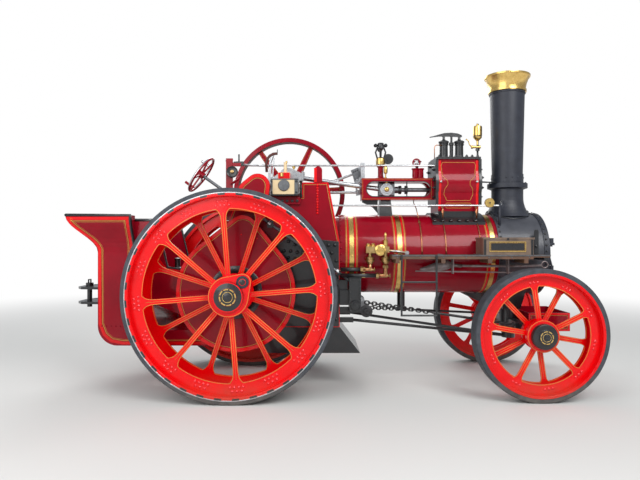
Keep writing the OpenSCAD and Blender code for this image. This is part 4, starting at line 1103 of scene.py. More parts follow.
@dataclass
class Hornplates:
    """Borders, rivets and lower plates of the hornplates."""

    face_y: float = -0.4152
    outline: tuple[Pair, ...] = (
        (1.03, 0.62), (1.03, 1.485), (0.915, 2.09), (0.643, 2.09), (0.643, 1.95), (0.30, 1.95), (-0.04, 1.85),
        (-0.17, 1.5), (-0.17, 0.86), (0.0, 0.76), (0.25, 0.62),
    )
    lower: tuple[Pair, ...] = ((0.40, 0.63), (1.022, 0.63), (1.022, 1.49), (0.60, 1.53), (0.50, 1.53), (0.40, 1.46))
    lower_thick: float = 0.010

    def build(self) -> None:
        """Dresses both hornplates."""
        face = right_face(self.face_y)
        start = inset(self.outline, 0.001)
        both(moved(band_between(start, inset(start, 0.014), 0.0012), face), "hornplate_border", BORDER_RED)
        both(moved(painted(inset(start, 0.022), 0.005), face), "hornplate_line", GOLD_LINE)
        column = on_face(face, [(0.804, 2.062 - 0.0285 * i) for i in range(11)])
        # The rivets take the bright border red, lighter than the crimson plate, as a painted highlight on their heads.
        both(heads(column, 0.0135, 0.85, 10), "hornplate_rivets_with_painted_highlight", BORDER_RED)
        # black plate over the firebox's lower front corner, with big heads in rows
        both(moved(plate(self.lower, self.lower_thick, 0.002), face), "lower_plate", BLACK_ENAMEL)
        spots = [(0.510, 1.490), (0.576, 1.457), (0.465, 1.393), (0.532, 1.393), (0.600, 1.380), (0.510, 1.325),
                 (0.576, 1.314), *grid(0.66, 0.98, 6, 1.455), *grid(0.66, 0.95, 5, 1.375)]
        spots += [(0.995, 0.70 + 0.085 * i) for i in range(8)]
        plate_face = face @ shift(0, 0, self.lower_thick)
        both(heads(on_face(plate_face, spots), 0.019, 0.85, 10), "lower_plate_heads", BLACK_ENAMEL)


@dataclass
class CrankBearing:
    """Face of the right-hand crankshaft bearing with its oil box and the bolts about it."""

    face_y: float = -0.5202
    tie_y: float = -0.440
    lever_y: float = -0.37

    def build(self) -> None:
        """Dresses the bearing and what stands round it."""
        self.face()
        self.castings()
        self.oil_box()

    def face(self) -> None:
        """Adds the edge plates, the foot, the disc and the corner nuts."""
        face, y, x, z = right_face(self.face_y), self.face_y, CRANK_X, CRANK_Z
        edges = [
            slab((x + x0, y - 0.004, z + z0), (x + x1, y + 0.05, z + 0.067))
            for x0, x1, z0 in ((-0.132, -0.112, -0.09), (0.105, 0.142, -0.09), (-0.132, 0.142, 0.055))
        ]
        fitted(joined(edges), "bearing_edge_plates", DULL_STEEL)
        foot = slab((x - 0.138, y - 0.006, z - 0.104), (x + 0.146, y + 0.09, z - 0.088))
        fitted(foot, "bearing_foot", BLACK_ENAMEL)
        disc = [(0.057, 0.0), (0.057, 0.010), (0.053, 0.014), (0.012, 0.016), (0.010, 0.019), (0.0, 0.019)]
        lathe("bearing_disc", disc, face @ shift(x, z, -0.001), DULL_STEEL)
        corners = [(x + across, z + up) for across in (-0.122, 0.123) for up in (0.04, -0.07)]
        nuts("bearing_corner_nuts", on_face(face @ shift(0, 0, 0.004), corners), 0.022, 0.010, 0.005, BLACK_ENAMEL)

    def castings(self) -> None:
        """Adds the castings and studs under the bearing, on the hornplate, and the guard's strip."""
        x, face = CRANK_X, right_face(-0.4155)
        pad = plate([(x - 0.10, 1.865), (x + 0.16, 1.865), (x + 0.17, 1.94), (x - 0.12, 1.94)], 0.03, 0.003)
        fitted(moved(pad, face), "bearing_pad", CRIMSON)
        pad_studs = on_face(face @ shift(0, 0, 0.028), grid(x - 0.07, x + 0.13, 5, 1.90))
        nuts("bearing_pad_studs", pad_studs, 0.030, 0.016, 0.008, BLACK_ENAMEL)
        low_studs = on_face(face, [(x + 0.02, 1.80), (x + 0.09, 1.76)])
        nuts("hornplate_studs", low_studs, 0.030, 0.014, 0.008, BLACK_ENAMEL)
        x += 0.168
        tie = bar([(x, self.tie_y, 1.93), (x, self.tie_y, 2.10)], 0.011)
        ends = [stand(FACE_TOP, x, self.tie_y, height) for height in (1.945, 2.02, 2.09)]
        fitted(joined([tie, copies(nut(0.036, 0.016), ends)]), "bearing_tie", BLACK_ENAMEL)
        strip = slab((0.7695, -0.4312, 2.0905), (0.797, -0.43, 2.235), 0.0)
        fitted(strip, "crank_guard_strip", BORDER_RED)

    def oil_box(self) -> None:
        """Adds the oil box with its brass fittings and the bent lever behind it."""
        x, y = CRANK_X, self.lever_y
        fitted(slab((x - 0.062, -0.507, 2.1152), (x + 0.062, -0.408, 2.182), 0.006), "oil_box", BORDER_RED)
        spout = bar([(x + 0.01, -0.45, 2.17), (x + 0.01, -0.45, 2.25), (x + 0.022, -0.455, 2.288),
                     (x + 0.022, -0.455, 2.30)], 0.010)
        cup = turned([(0.018, 0.0), (0.018, 0.03), (0.013, 0.036), (0.0, 0.036)], 24)
        fitted(joined([spout, moved(cup, stand(FACE_TOP, x - 0.02, -0.512, 2.14))]), "oil_box_brass", BRASS)
        path = [(0.285, 2.20), (0.280, 2.290), (0.292, 2.335), (0.318, 2.368), (0.352, 2.386), (0.395, 2.390)]
        fitted(bar([(px, y, pz) for px, pz in path], 0.014, 3), "bent_lever", DARK_BROWN_RED)
        fitted(bar([(0.393, y, 2.380), (0.393, y, 2.431)], 0.004, 1), "bent_lever_pin", BLACK_ENAMEL)


@dataclass
class Boiler:
    """Lining beside the bands, pipes over the barrel and small fittings."""

    bands: tuple[float, ...] = (1.153, 1.643, 2.59)
    front_band: float = 2.59
    drains: tuple[float, ...] = (1.865, 2.11, 2.462)
    seam_x: float = 1.044

    def ring(self, x: float, wide: float, high: float) -> Piece:
        """Turns a thin ring round the barrel."""
        inner = BOILER_R + 0.0001
        profile = [(inner, 0.0), (inner + high, 0.0), (inner + high, wide), (inner, wide)]
        return moved(turned(profile, 96), stand(FACE_FRONT, x, 0.0, BOILER_Z))

    def on_barrel(self, face: Matrix, x: float, angle: float, clear: float) -> Matrix:
        """Puts a face on the barrel at an angle above its right-hand side."""
        y, z = polar(BOILER_R + clear, 180.0 - angle)
        return stand(face, x, y, BOILER_Z + z)

    def lining(self) -> None:
        """Rings each band with red and gold, where the barrel has room beside it."""
        red, gold = [], []
        for x in self.bands:
            for sign in (-1, 1):
                if sign > 0 and x == self.front_band:
                    continue
                red.append(self.ring(x + sign * 0.030 - (0.012 if sign < 0 else 0.0), 0.012, 0.0008))
                gold.append(self.ring(x + sign * 0.051 - 0.003, 0.006, 0.0009))
                gold.append(self.ring(x + sign * 0.060 - 0.001, 0.002, 0.0009))
        fitted(joined(red), "band_borders", BORDER_RED)
        fitted(joined(gold), "band_lines", GOLD_LINE)

    def build(self) -> None:
        """Dresses the barrel."""
        self.lining()
        # drain pipes from the cylinder and the lubricator down to the footboard
        pipes = []
        for x in self.drains:
            run = [self.on_barrel(FACE_TOP, x, 56.0 - 55.0 * i / 14, 0.007).to_translation() for i in range(15)]
            pipes.append(bead(run, 0.006, fine=2))
        clips = [
            moved(nut(0.024, 0.014), self.on_barrel(turn(angle - 90.0, "X"), x, angle, 0.004))
            for x in self.drains for angle in (50.0, 24.0)
        ]
        fitted(joined(pipes), "drain_pipes", COPPER)
        fitted(joined(clips), "drain_pipe_unions", BRASS)
        bolts = [self.on_barrel(FACE_RIGHT, x, -2.0, 0.003) for x in self.bands]
        nuts("band_bolts", bolts, 0.022, 0.010, 0.006, BRASS)
        sleeve = [(0.0405, 0.0), (0.0565, 0.0), (0.0565, 0.032), (0.0415, 0.036), (0.0415, 0.200), (0.0405, 0.200)]
        lathe("blow_off_sleeve", sleeve, stand(FACE_TOP, 1.712, 0.0, 0.7438), BLACK_ENAMEL, 32)
        # rivets of the barrel's joint with the firebox
        middle = stand(FACE_FRONT, self.seam_x, 0.0, BOILER_Z)
        spots = [frame_at.to_translation() for frame_at in around(middle, BOILER_R, 40)]
        seam = [Matrix.Translation(spot) @ facing(*(spot - middle.to_translation()), "Y") for spot in spots]
        rivets("barrel_seam_rivets", seam, 0.009, CRIMSON)


@dataclass
class Smokebox:
    """Rivets, bolts and door furniture of the smokebox and the chimney."""

    front_x: float = 3.162

    def outward(self, x: float, radius: float, count: int, first: float = 0.0) -> list[Matrix]:
        """Gives frames round the shell that point away from its axis."""
        rounds = [polar(radius, first + 360.0 / count * i) for i in range(count)]
        return [stand(facing(0.0, y, z), x, y, BOILER_Z + z) for y, z in rounds]

    def saddle(self, radius: float, clear: float, count: int, first: float) -> list[Point]:
        """Gives places round the chimney's foot on the shell, with their heights above its axis."""
        places = []
        for i in range(count):
            x, y = polar(radius, first + 360.0 / count * i)
            places.append((CHIMNEY_X + x, y, math.sqrt((SMOKEBOX_R + clear) ** 2 - y**2)))
        return places

    def build(self) -> None:
        """Dresses the smokebox and its door."""
        rows = self.outward(2.672, SMOKEBOX_R, 44) + self.outward(3.125, SMOKEBOX_R + 0.008, 44, 4.0)
        rivets("smokebox_rivets", rows, 0.0125, BLACK_ENAMEL)
        front = stand(FACE_FRONT, self.front_x, 0.0, BOILER_Z)
        rivets("front_ring_rivets", around(front, 0.412, 40), 0.009, SMOKEBOX_BLACK)
        nuts("door_studs", around(front @ shift(0, 0, 0.0005), 0.376, 8, 22.5), 0.034, 0.016, 0.010, SMOKEBOX_BLACK)
        self.chimney()

    def chimney(self) -> None:
        """Adds bolts through the saddle and the flange, rivets in rings and along the seam, and the cap's lip."""
        bolts = [stand(facing(0.0, y, z), x, y, BOILER_Z + z) for x, y, z in self.saddle(0.205, 0.014, 12, 15.0)]
        nuts("saddle_bolts", bolts, 0.034, 0.016, 0.008, BLACK_ENAMEL)
        flange = around(stand(FACE_TOP, CHIMNEY_X, 0.0, 2.113), 0.190, 12)
        nuts("chimney_flange_bolts", flange, 0.020, 0.010, 0.003, SMOKEBOX_BLACK)
        ring = [(0.1835, 0.0), (0.1900, 0.0), (0.1915, 0.006), (0.1900, 0.012), (0.1835, 0.012)]
        lathe("chimney_bead", ring, stand(FACE_TOP, CHIMNEY_X, 0.0, 3.085), SMOKEBOX_BLACK, 64)
        edge = [at(x, y, BOILER_Z + z) for x, y, z in self.saddle(0.225, 0.004, 72, 0.0)]
        fitted(bead(edge, 0.008, closed=True, fine=2), "chimney_saddle_edge", BLACK_ENAMEL)
        row = [stand(facing(x, y, 0.0, "Y"), CHIMNEY_X + x, y, 2.175) for x, y in arc(0.1655, 0.0, 337.5, 15)]
        rivets("chimney_ring_rivets", row, 0.009, SMOKEBOX_BLACK)
        heights = [2.235 + 0.038 * i for i in range(22)]
        seam = [stand(FACE_LEFT, CHIMNEY_X, 0.161 + (z - 2.215) / 0.89 * 0.021, z) for z in heights]
        rivets("chimney_seam_rivets", seam, 0.007, SMOKEBOX_BLACK)
        lip = [(0.2382, 0.0), (0.2396, 0.004), (0.2396, 0.012), (0.2396, 0.020), (0.2160, 0.020), (0.2160, 0.0)]
        lathe("chimney_cap_lip", lip, stand(FACE_TOP, CHIMNEY_X, 0.0, 3.2645), BRASS, 96)


@dataclass
class Cylinder:
    """Lining, studs and cocks of the cylinder.

    Attributes:
        x0: Rear end of the block.
        x1: Front end of the block.
        centre_z: Height of the middle of its rounded sides.
        reach: Radius of its rounded sides.
        flat: Least distance of a side from the centre line.
        top: Height of its top plate.
    """

    x0: float = 2.076
    x1: float = 2.5
    centre_z: float = 2.11
    reach: float = 0.228
    flat: float = 0.20
    top: float = 2.38

    def wrap(self, points: Outline, clear: float) -> list[Vector]:
        """Lays points of x and height on the cylinder's rounded right-hand side."""
        reaches = [math.sqrt(max(self.reach**2 - (z - self.centre_z) ** 2, 0.0)) for _, z in points]
        return [at(x, -max(reach, self.flat) - clear, z) for (x, z), reach in zip(points, reaches)]

    def dense(self, points: Outline, step: float = 0.012) -> list[Pair]:
        """Adds points along a closed line so that it follows a curved face."""
        made = []
        for a, b in zip(points, [*points[1:], points[0]]):
            count = max(int(math.dist(a, b) / step), 1)
            made += [(a[0] + (b[0] - a[0]) * i / count, a[1] + (b[1] - a[1]) * i / count) for i in range(count)]
        return made

    def panel(self, low: float, high: float, margin: float, cut: float) -> list[Pair]:
        """Gives a panel's line with its corners cut in."""
        a, b = self.x0 + margin, self.x1 - margin
        return [(a + cut, low), (b - cut, low), (b, low + cut), (b, high - cut), (b - cut, high), (a + cut, high),
                (a, high - cut), (a, low + cut)]

    def strip(self, a: float, b: float, low: float, high: float, count: int = 24) -> Piece:
        """Bends a flat border strip to the cylinder's rounded side."""
        mesh = bmesh.new()
        rows = []
        for i in range(count + 1):
            z = low + (high - low) * i / count
            corners = ((a, 0.0002), (b, 0.0002), (b, 0.0010), (a, 0.0010))
            rows.append([mesh.verts.new(self.wrap([(x, z)], clear)[0]) for x, clear in corners])
        for first, second in zip(rows, rows[1:]):
            for k in range(4):
                mesh.faces.new((first[k], first[(k + 1) % 4], second[(k + 1) % 4], second[k]))
        mesh.faces.new(rows[0])
        mesh.faces.new(rows[-1])
        return smooth(close_up(linked(mesh)))

    def lining(self) -> None:
        """Paints one line with a waist, a low panel under it and the red borders."""
        left = [(2.166, 1.921), (2.135, 1.985), (2.142, 2.042), (2.172, 2.086), (2.170, 2.122), (2.118, 2.178),
                (2.106, 2.295), (2.122, 2.322)]
        whole = left + [(self.x0 + self.x1 - x, z) for x, z in reversed(left)]
        outlines = (whole, self.panel(1.842, 1.893, 0.075, 0.014))
        lines = [bead(self.wrap(self.dense(line), 0.0006), 0.0026, closed=True, fine=0) for line in outlines]
        fitted(joined(lines), "cylinder_lines", GOLD_LINE)
        sides = ((self.x0 + 0.001, self.x0 + 0.028), (self.x1 - 0.028, self.x1 - 0.001))
        fitted(joined([self.strip(a, b, 1.830, 2.345) for a, b in sides]), "cylinder_borders", BORDER_RED)

    def build(self) -> None:
        """Dresses the cylinder."""
        self.lining()
        studs = []
        for x, face in ((self.x0 - 0.030, FACE_BACK), (self.x1 + 0.030, FACE_FRONT)):
            for angle in range(0, 360, 30):
                y, z = polar(0.205, angle + 15.0)
                # the steam chest and the guide take the studs' places at the back
                if face is FACE_FRONT or abs(y) >= 0.15 or z >= 0.06:
                    studs.append(stand(face, x, y, self.centre_z + z))
        nuts("cylinder_cover_studs", studs, 0.032, 0.016, 0.010, BLACK_ENAMEL)
        cover = [(0.150, 0.0), (0.150, 0.014), (0.138, 0.022), (0.05, 0.026), (0.0, 0.026)]
        lathe("cylinder_front_cover", cover, stand(FACE_FRONT, self.x1 + 0.0301, 0.0, 2.05), BLACK_ENAMEL)
        top = [stand(FACE_TOP, self.x0 + 0.01 + 0.0577 * i, y, self.top) for y in (-0.205, 0.205) for i in range(8)]
        nuts("top_plate_nuts", top, 0.030, 0.014, 0.008, BLACK_ENAMEL)
        y, z = polar(0.4422, 129.0)
        foot = [stand(facing(0.0, y, z), 2.020 + 0.085 * i, y, BOILER_Z + z) for i in range(6)]
        both(copies(nut(0.044, 0.020, 0.010), foot), "saddle_edge_bolts", BLACK_ENAMEL)
        acorn = [(0.014, 0.0), (0.014, 0.006), (0.012, 0.014), (0.006, 0.019), (0.0, 0.020)]
        ends = [Matrix.Translation(spot) @ FACE_RIGHT for spot in self.wrap([(2.098, 2.118), (2.478, 2.118)], 0.0)]
        fitted(copies(turned(acorn, 16), ends), "cylinder_acorns", BRIGHT_STEEL)
        self.cocks()

    def cocks(self) -> None:
        """Adds the drain cocks, whose pipes run down the barrel, and the stay to the smokebox."""
        parts = []
        for x in (2.11, 2.462):
            parts.append(bar([(x, -0.20, 1.852), (x, -0.246, 1.852), (x, -0.262, 1.84), (x, -0.262, 1.73)], 0.009))
            parts.append(moved(nut(0.030, 0.020), stand(FACE_RIGHT, x, -0.236, 1.852)))
            parts.append(moved(nut(0.028, 0.022), stand(FACE_TOP, x, -0.262, 1.79)))
        fitted(joined(parts), "drain_cocks", COPPER)
        fitted(bar([(2.530, -0.17, 2.12), (2.715, -0.137, 2.116)], 0.008), "cylinder_stay", BLACK_ENAMEL)


@dataclass
class SafetyValves:
    """Twin safety valves with their curved lever, which stand for the CAD columns."""

    top: float = 2.38
    places: Pair = (2.178, 2.346)
    spring_x: float = 2.262

    def build(self) -> None:
        """Turns the columns and bends the lever."""
        column = [
            (0.062, 0.0), (0.062, 0.012), (0.046, 0.018), (0.044, 0.150), (0.052, 0.156), (0.052, 0.166),
            (0.047, 0.170), (0.055, 0.184), (0.056, 0.196), (0.040, 0.206), (0.020, 0.212), (0.014, 0.228),
            (0.014, 0.256), (0.0, 0.258),
        ]
        spring = [(0.026, 0.0), (0.026, 0.03), (0.020, 0.034), (0.020, 0.15), (0.026, 0.155), (0.026, 0.185),
                  (0.012, 0.19), (0.012, 0.255), (0.0, 0.255)]
        parts = [copies(turned(column, 40), [stand(FACE_TOP, x, 0.0, self.top) for x in self.places]),
                 moved(turned(spring, 24), stand(FACE_TOP, self.spring_x, 0.0, self.top))]
        back = [(2.024, 2.628), (2.060, 2.634), (2.12, 2.652), (2.18, 2.668), (2.262, 2.673), (2.33, 2.664),
                (2.372, 2.645), (2.376, 2.628)]
        belly = [(2.366, 2.624), (2.32, 2.628), (2.262, 2.630), (2.18, 2.632), (2.12, 2.632), (2.06, 2.625),
                 (2.028, 2.620)]
        parts.append(moved(plate([*reversed(back + belly)], 0.028), right_face(0.014)))
        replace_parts(fitted(joined(parts), "safety_valve_set", BLACK_ENAMEL), "safety_valves")
        feet = [m for x in self.places for m in around(stand(FACE_TOP, x, 0.0, self.top + 0.011), 0.053, 6)]
        nuts("safety_valve_feet", feet, 0.014, 0.008, 0.003, BLACK_ENAMEL)
        pipe("valve_drain_pipe", [(2.178, -0.03, 2.531), (2.09, -0.05, 2.531), (2.072, -0.052, 2.520),
                                  (2.066, -0.055, 2.495), (2.066, -0.06, 2.36)], 0.005, COPPER)


@dataclass
class Whistle:
    """Brass whistle with its black pipe and lever, which stand for the CAD one."""

    x: float = 2.530
    y: float = -0.06

    def build(self) -> None:
        """Turns the bell and its fittings."""
        x, y = self.x, self.y
        bell = [
            (0.012, 0.0), (0.012, 0.040), (0.017, 0.047), (0.030, 0.060), (0.044, 0.076), (0.046, 0.086),
            (0.040, 0.088), (0.040, 0.096), (0.0475, 0.097), (0.0475, 0.190), (0.044, 0.200), (0.030, 0.205),
            (0.014, 0.206), (0.012, 0.214), (0.015, 0.222), (0.010, 0.229), (0.0, 0.230),
        ]
        valve = [(0.014, 0.0), (0.019, 0.004), (0.019, 0.020), (0.014, 0.024), (0.014, 0.080), (0.019, 0.084),
                 (0.019, 0.100), (0.014, 0.104), (0.0, 0.104)]
        parts = [moved(turned(bell, 32), stand(FACE_TOP, x, y, 2.531)),
                 moved(turned(valve, 20), stand(FACE_FRONT, x - 0.072, y, 2.508)),
                 bar([(x - 0.060, y, 2.508), (x - 0.085, y, 2.530), (x - 0.100, y, 2.575), (x - 0.126, y, 2.595)],
                     0.006)]
        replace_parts(fitted(joined(parts), "whistle_bell", BRASS), "whistle")
        mouth = [(0.0445, 0.0), (0.0445, 0.0075), (0.0395, 0.0075), (0.0395, 0.0)]
        lathe("whistle_mouth", mouth, stand(FACE_TOP, x, y, 2.6195), BLACK_ENAMEL, 32)
        stem = bar([(2.505, y, 2.300), (x - 0.01, y, 2.300), (x, y, 2.312), (x, y, 2.535)], 0.0115)
        union = moved(nut(0.044, 0.026), stand(FACE_TOP, x, y, 2.466))
        fitted(joined([stem, union]), "whistle_pipe", BLACK_ENAMEL)


@dataclass
class Controls:
    """Blower wheel and its pipes, and the frame with the reversing gear's drum, grip and handle."""

    frame_y: float = -0.4005
    drum: Pair = (-0.06, 2.195)
    pipe_y: float = -0.300

    def build(self) -> None:
        """Dresses the controls."""
        place = stand(FACE_RIGHT, 2.585, -0.2875, 1.890)
        disc = [(0.0470, 0.0), (0.049, 0.002), (0.049, 0.028), (0.046, 0.031), (0.0, 0.031)]
        lathe("blower_disc", disc, place, BRASS, 40)
        fitted(moved(nut(0.018, 0.008), place @ shift(0.0, 0.0, 0.0308)), "blower_disc_nut", BLACK_ENAMEL)
        y = self.pipe_y
        pipe("blower_pipe", [(2.585, y, 1.858), (2.690, y, 1.860), (2.715, -0.28, 1.878), (2.745, -0.20, 1.915),
                             (2.775, -0.09, 1.925)], 0.010, BRIGHT_STEEL)
        pipe("blower_pipe_lagging", [(2.690, y, 1.615), (2.690, y, 1.888)], 0.0145, SMOKEBOX_BLACK, 3)
        self.reverser()

    def reverser(self) -> None:
        """Adds the crimson frame on the reversing gear's plate, with what it carries."""
        column = slab((-0.1275, -0.4035, 1.705), (-0.0575, -0.3845, 2.3365))
        top_bar = slab((-0.0575, -0.4115, 2.253), (0.027, -0.3995, 2.288), 0.001)
        strut = bar([(0.013, -0.410, 2.180), (0.001, -0.410, 2.126), (-0.074, -0.408, 2.071)], 0.012)
        fitted(joined([column, top_bar, strut]), "reverser_frame", CRIMSON)
        face = right_face(self.frame_y) @ shift(*self.drum)
        drum = [(0.058, 0.0), (0.058, 0.020), (0.052, 0.026), (0.046, 0.022), (0.024, 0.022), (0.0, 0.022)]
        lathe("reverser_drum", drum, face @ shift(0, 0, 0.0135), BLACK_ENAMEL, 40)
        core = [(0.018, 0.0), (0.018, 0.012), (0.012, 0.016), (0.0, 0.017)]
        lathe("reverser_core", core, face @ shift(0, 0, 0.035), GUNMETAL, 24)
        arm = slab((-0.045, -0.405, 2.286), (0.010, -0.165, 2.302))
        clamp = slab((-0.060, -0.200, 2.300), (0.024, -0.160, 2.334))
        grip = bar([(-0.027, -0.18, 2.316), (-0.027, -0.18, 2.411)], 0.008)
        fitted(joined([arm, clamp, grip]), "reverser_grip", BLACK_ENAMEL)
        bright = [bar([(0.005, -0.18, 2.316), (-0.167, -0.18, 2.345)], 0.010),
                  bar([(0.0, -0.22, 2.293), (0.31, -0.22, 2.285)], 0.011)]
        fitted(joined(bright), "reverser_handle", BRIGHT_STEEL)


@dataclass
class Governor:
    """Governor with its pulley, brass valve and oiler, and the stands with a handwheel."""

    x: float = 1.49
    top: float = 2.166
    wheel: Point = (1.870, -0.062, 2.340)

    def build(self) -> None:
        """Dresses the governor."""
        x, post = self.x, stand(FACE_TOP, self.x, 0.0, self.top)
        base = [(0.052, 0.0), (0.052, 0.014), (0.034, 0.022), (0.029, 0.04), (0.029, 0.126), (0.040, 0.134),
                (0.040, 0.15), (0.0, 0.15)]
        lathe("governor_post", base, post, CRIMSON, 32)
        body = [(0.0475, 0.0), (0.050, 0.010), (0.050, 0.050), (0.0475, 0.066), (0.036, 0.072), (0.030, 0.082),
                (0.0, 0.082)]
        lathe("governor_valve", body, post @ shift(0, 0, 0.156), BRASS, 32)
        yoke = []
        for sign in (-1, 1):
            yoke.append(bar([(x + 0.035 * sign, 0.0, self.top + 0.225), (x + 0.055 * sign, 0.0, 2.46),
                             (x + 0.030 * sign, 0.0, 2.525), (x + 0.012 * sign, 0.0, 2.548)], 0.009))
            for half in (Matrix.Identity(4), turn(180.0, "X")):
                yoke.append(moved(dome(0.022, 0.022, 16), stand(half, x + 0.055 * sign, 0.0, 2.535)))
        hat = [(0.03, 0.0), (0.036, 0.008), (0.03, 0.016), (0.0, 0.018)]
        yoke.append(moved(turned(hat, 24), stand(FACE_TOP, x, 0.0, 2.545)))
        pulley = [(0.018, 0.0), (0.053, 0.0), (0.055, 0.003), (0.0525, 0.008), (0.0525, 0.034), (0.055, 0.039),
                  (0.053, 0.042), (0.018, 0.042), (0.018, 0.030), (0.040, 0.030), (0.040, 0.012), (0.018, 0.012)]
        yoke.append(moved(turned(pulley, 32), stand(FACE_RIGHT, 1.572, 0.021, 2.386)))
        fitted(joined(yoke), "governor_yoke", BLACK_ENAMEL)
        oiler = [(0.014, 0.0), (0.014, 0.012), (0.007, 0.02), (0.007, 0.05), (0.020, 0.062), (0.022, 0.074),
                 (0.022, 0.115), (0.016, 0.130), (0.007, 0.134), (0.007, 0.150), (0.0, 0.152)]
        lathe("guide_oiler", oiler, stand(FACE_TOP, 1.538, -0.06, self.top), BRASS, 24)
        self.handwheel()

    def handwheel(self) -> None:
        """Stands the valves on the guide and fits the handwheel to the first."""
        post = [(0.048, 0.0), (0.048, 0.012), (0.034, 0.020), (0.032, 0.100), (0.040, 0.108), (0.040, 0.118),
                (0.0, 0.118)]
        posts = [moved(turned(post, 28), stand(FACE_TOP, x, 0.0, self.top)) for x in (1.868, 1.925)]
        fitted(joined(posts), "valve_stands", CRIMSON)
        x, y, z = self.wheel
        hub = moved(nut(0.040, 0.022, 0.010), stand(FACE_RIGHT, x, y + 0.007, z))
        fitted(joined([hub, bar([(x, 0.0, z), (x, y + 0.002, z)], 0.010)]), "valve_handwheel_hub", BRIGHT_STEEL)
        ring = [(0.038 + across, up) for across, up in arc(0.008, 0.0, 324.0, 9)]
        wheel = [moved(turned(ring, 24), stand(FACE_RIGHT, x, y, z))]
        for i in range(5):
            px, pz = polar(0.038, 72.0 * i + 18)
            wheel.append(bar([(x, y, z), (x + px, y, z + pz)], 0.005, 1))
        fitted(joined(wheel), "valve_handwheel", CRIMSON)


@dataclass
class Motion:
    """Guide lining, crosshead disc, glands, collars, cotters and oil cups of the motion."""

    guide_y: float = -0.1162
    crosshead: float = 1.5494

    def build(self) -> None:
        """Dresses the motion as it is parked."""
        self.guide()
        self.crosshead_dress()
        self.rods()
        self.bracket()

    def guide(self) -> None:
        """Edges the guide's slot, lines its side and bolts its flange."""
        face = right_face(self.guide_y)
        slot = belt((1.407, CRANK_Z), 0.084, (1.933, CRANK_Z), 0.084)
        fitted(moved(band_between(slot, inset(slot, 0.008), 0.003), face), "guide_slot_edge", BLACK_ENAMEL)
        edge = rectangle(1.279, 1.936, 2.03, 2.164)
        fitted(moved(painted(inset(edge, 0.008), 0.003), face), "guide_line", GOLD_LINE)
        bolts = [stand(FACE_BACK, 2.0455, y, z) for y in (-0.15, 0.15) for z in (1.96, 2.14)]
        nuts("guide_flange_bolts", bolts, 0.028, 0.014, 0.006, BLACK_ENAMEL)

    def crosshead_dress(self) -> None:
        """Covers the crosshead's pin with a round plate and a brass cup, and adds the oil cups."""
        place = stand(FACE_RIGHT, self.crosshead, -0.0605, CRANK_Z)
        disc = [(0.072, 0.0), (0.072, 0.004), (0.068, 0.007), (0.046, 0.007), (0.044, 0.010), (0.0, 0.010)]
        lathe("crosshead_plate", disc, place, BRIGHT_STEEL)
        cap = [(0.026, 0.0), (0.026, 0.010), (0.020, 0.016), (0.012, 0.018), (0.010, 0.026), (0.0, 0.027)]
        lathe("crosshead_cup", cap, place @ shift(0.0, 0.0, 0.009), BRASS, 28)
        ring = around(place @ shift(0, 0, 0.006), 0.060, 6, 30.0)
        nuts("crosshead_nuts", ring, 0.014, 0.007, 0.003, BRIGHT_STEEL)
        cup = [(0.010, 0.0), (0.010, 0.012), (0.018, 0.018), (0.018, 0.036), (0.012, 0.042), (0.0, 0.044)]
        cups = [stand(FACE_TOP, self.crosshead, -0.05, 2.098), stand(FACE_TOP, 0.545, 0.0, 2.275)]
        fitted(copies(turned(cup, 20), cups), "motion_oil_cups", BRASS)

    def rods(self) -> None:
        """Adds the glands, the collars on the piston rod and the big end's cotter and key."""
        gland = [(0.0225, 0.0), (0.050, 0.0), (0.050, 0.014), (0.032, 0.018), (0.030, 0.040), (0.0225, 0.040)]
        lathe("piston_gland", gland, stand(FACE_BACK, 2.075, 0.0, CRANK_Z), BLACK_ENAMEL, 28)
        lock = [(0.0225, 0.0), (0.044, 0.0), (0.046, 0.004), (0.046, 0.026), (0.044, 0.030), (0.0225, 0.030)]
        spots = [stand(FACE_FRONT, x, 0.0, CRANK_Z) for x in (1.684, 1.752)]
        fitted(copies(turned(lock, 28), spots), "piston_rod_collars", BLACK_ENAMEL)
        gland = [(0.0145, 0.0), (0.034, 0.0), (0.034, 0.010), (0.022, 0.014), (0.020, 0.034), (0.0145, 0.034)]
        lathe("valve_gland", gland, stand(FACE_BACK, 2.0455, 0.198, 2.15), BRASS, 24)
        cotter = slab((0.63, -0.041, 2.160), (0.652, 0.041, 2.250))
        key = slab((0.655, -0.039, 2.170), (0.664, 0.039, 2.240))
        fitted(joined([cotter, key]), "big_end_cotters", BRIGHT_STEEL)

    def bracket(self) -> None:
        """Adds the slotted end of the link's hanger, the guide's rod and drip pipe and the bracket's wing."""
        hang = plate([(1.173, 2.281), (1.224, 2.169), (1.297, 2.221), (1.254, 2.314)], 0.012, 0.001)
        fitted(moved(hang, right_face(0.146)), "link_hanger", DULL_STEEL)
        bolts = on_face(right_face(0.134), [(1.205, 2.262), (1.226, 2.272), (1.247, 2.282)])
        nuts("link_hanger_bolts", bolts, 0.016, 0.006, 0.0, BLACK_ENAMEL)
        pipe("guide_rod", [(1.770, -0.04, 1.955), (1.770, -0.04, 2.145)], 0.006, BLACK_ENAMEL)
        wing = plate([(1.285, 1.915), (1.40, 1.86), (1.452, 1.80), (1.452, 1.936), (1.285, 1.936)], 0.05, 0.002)
        fitted(moved(wing, right_face(-0.020)), "bracket_wing", BLACK_ENAMEL)
        pipe("guide_drip_pipe", [(1.842, -0.05, 1.938), (1.842, -0.05, 1.905), (1.858, -0.12, 1.84),
                                 (1.865, -0.215, 1.735)], 0.005, COPPER)


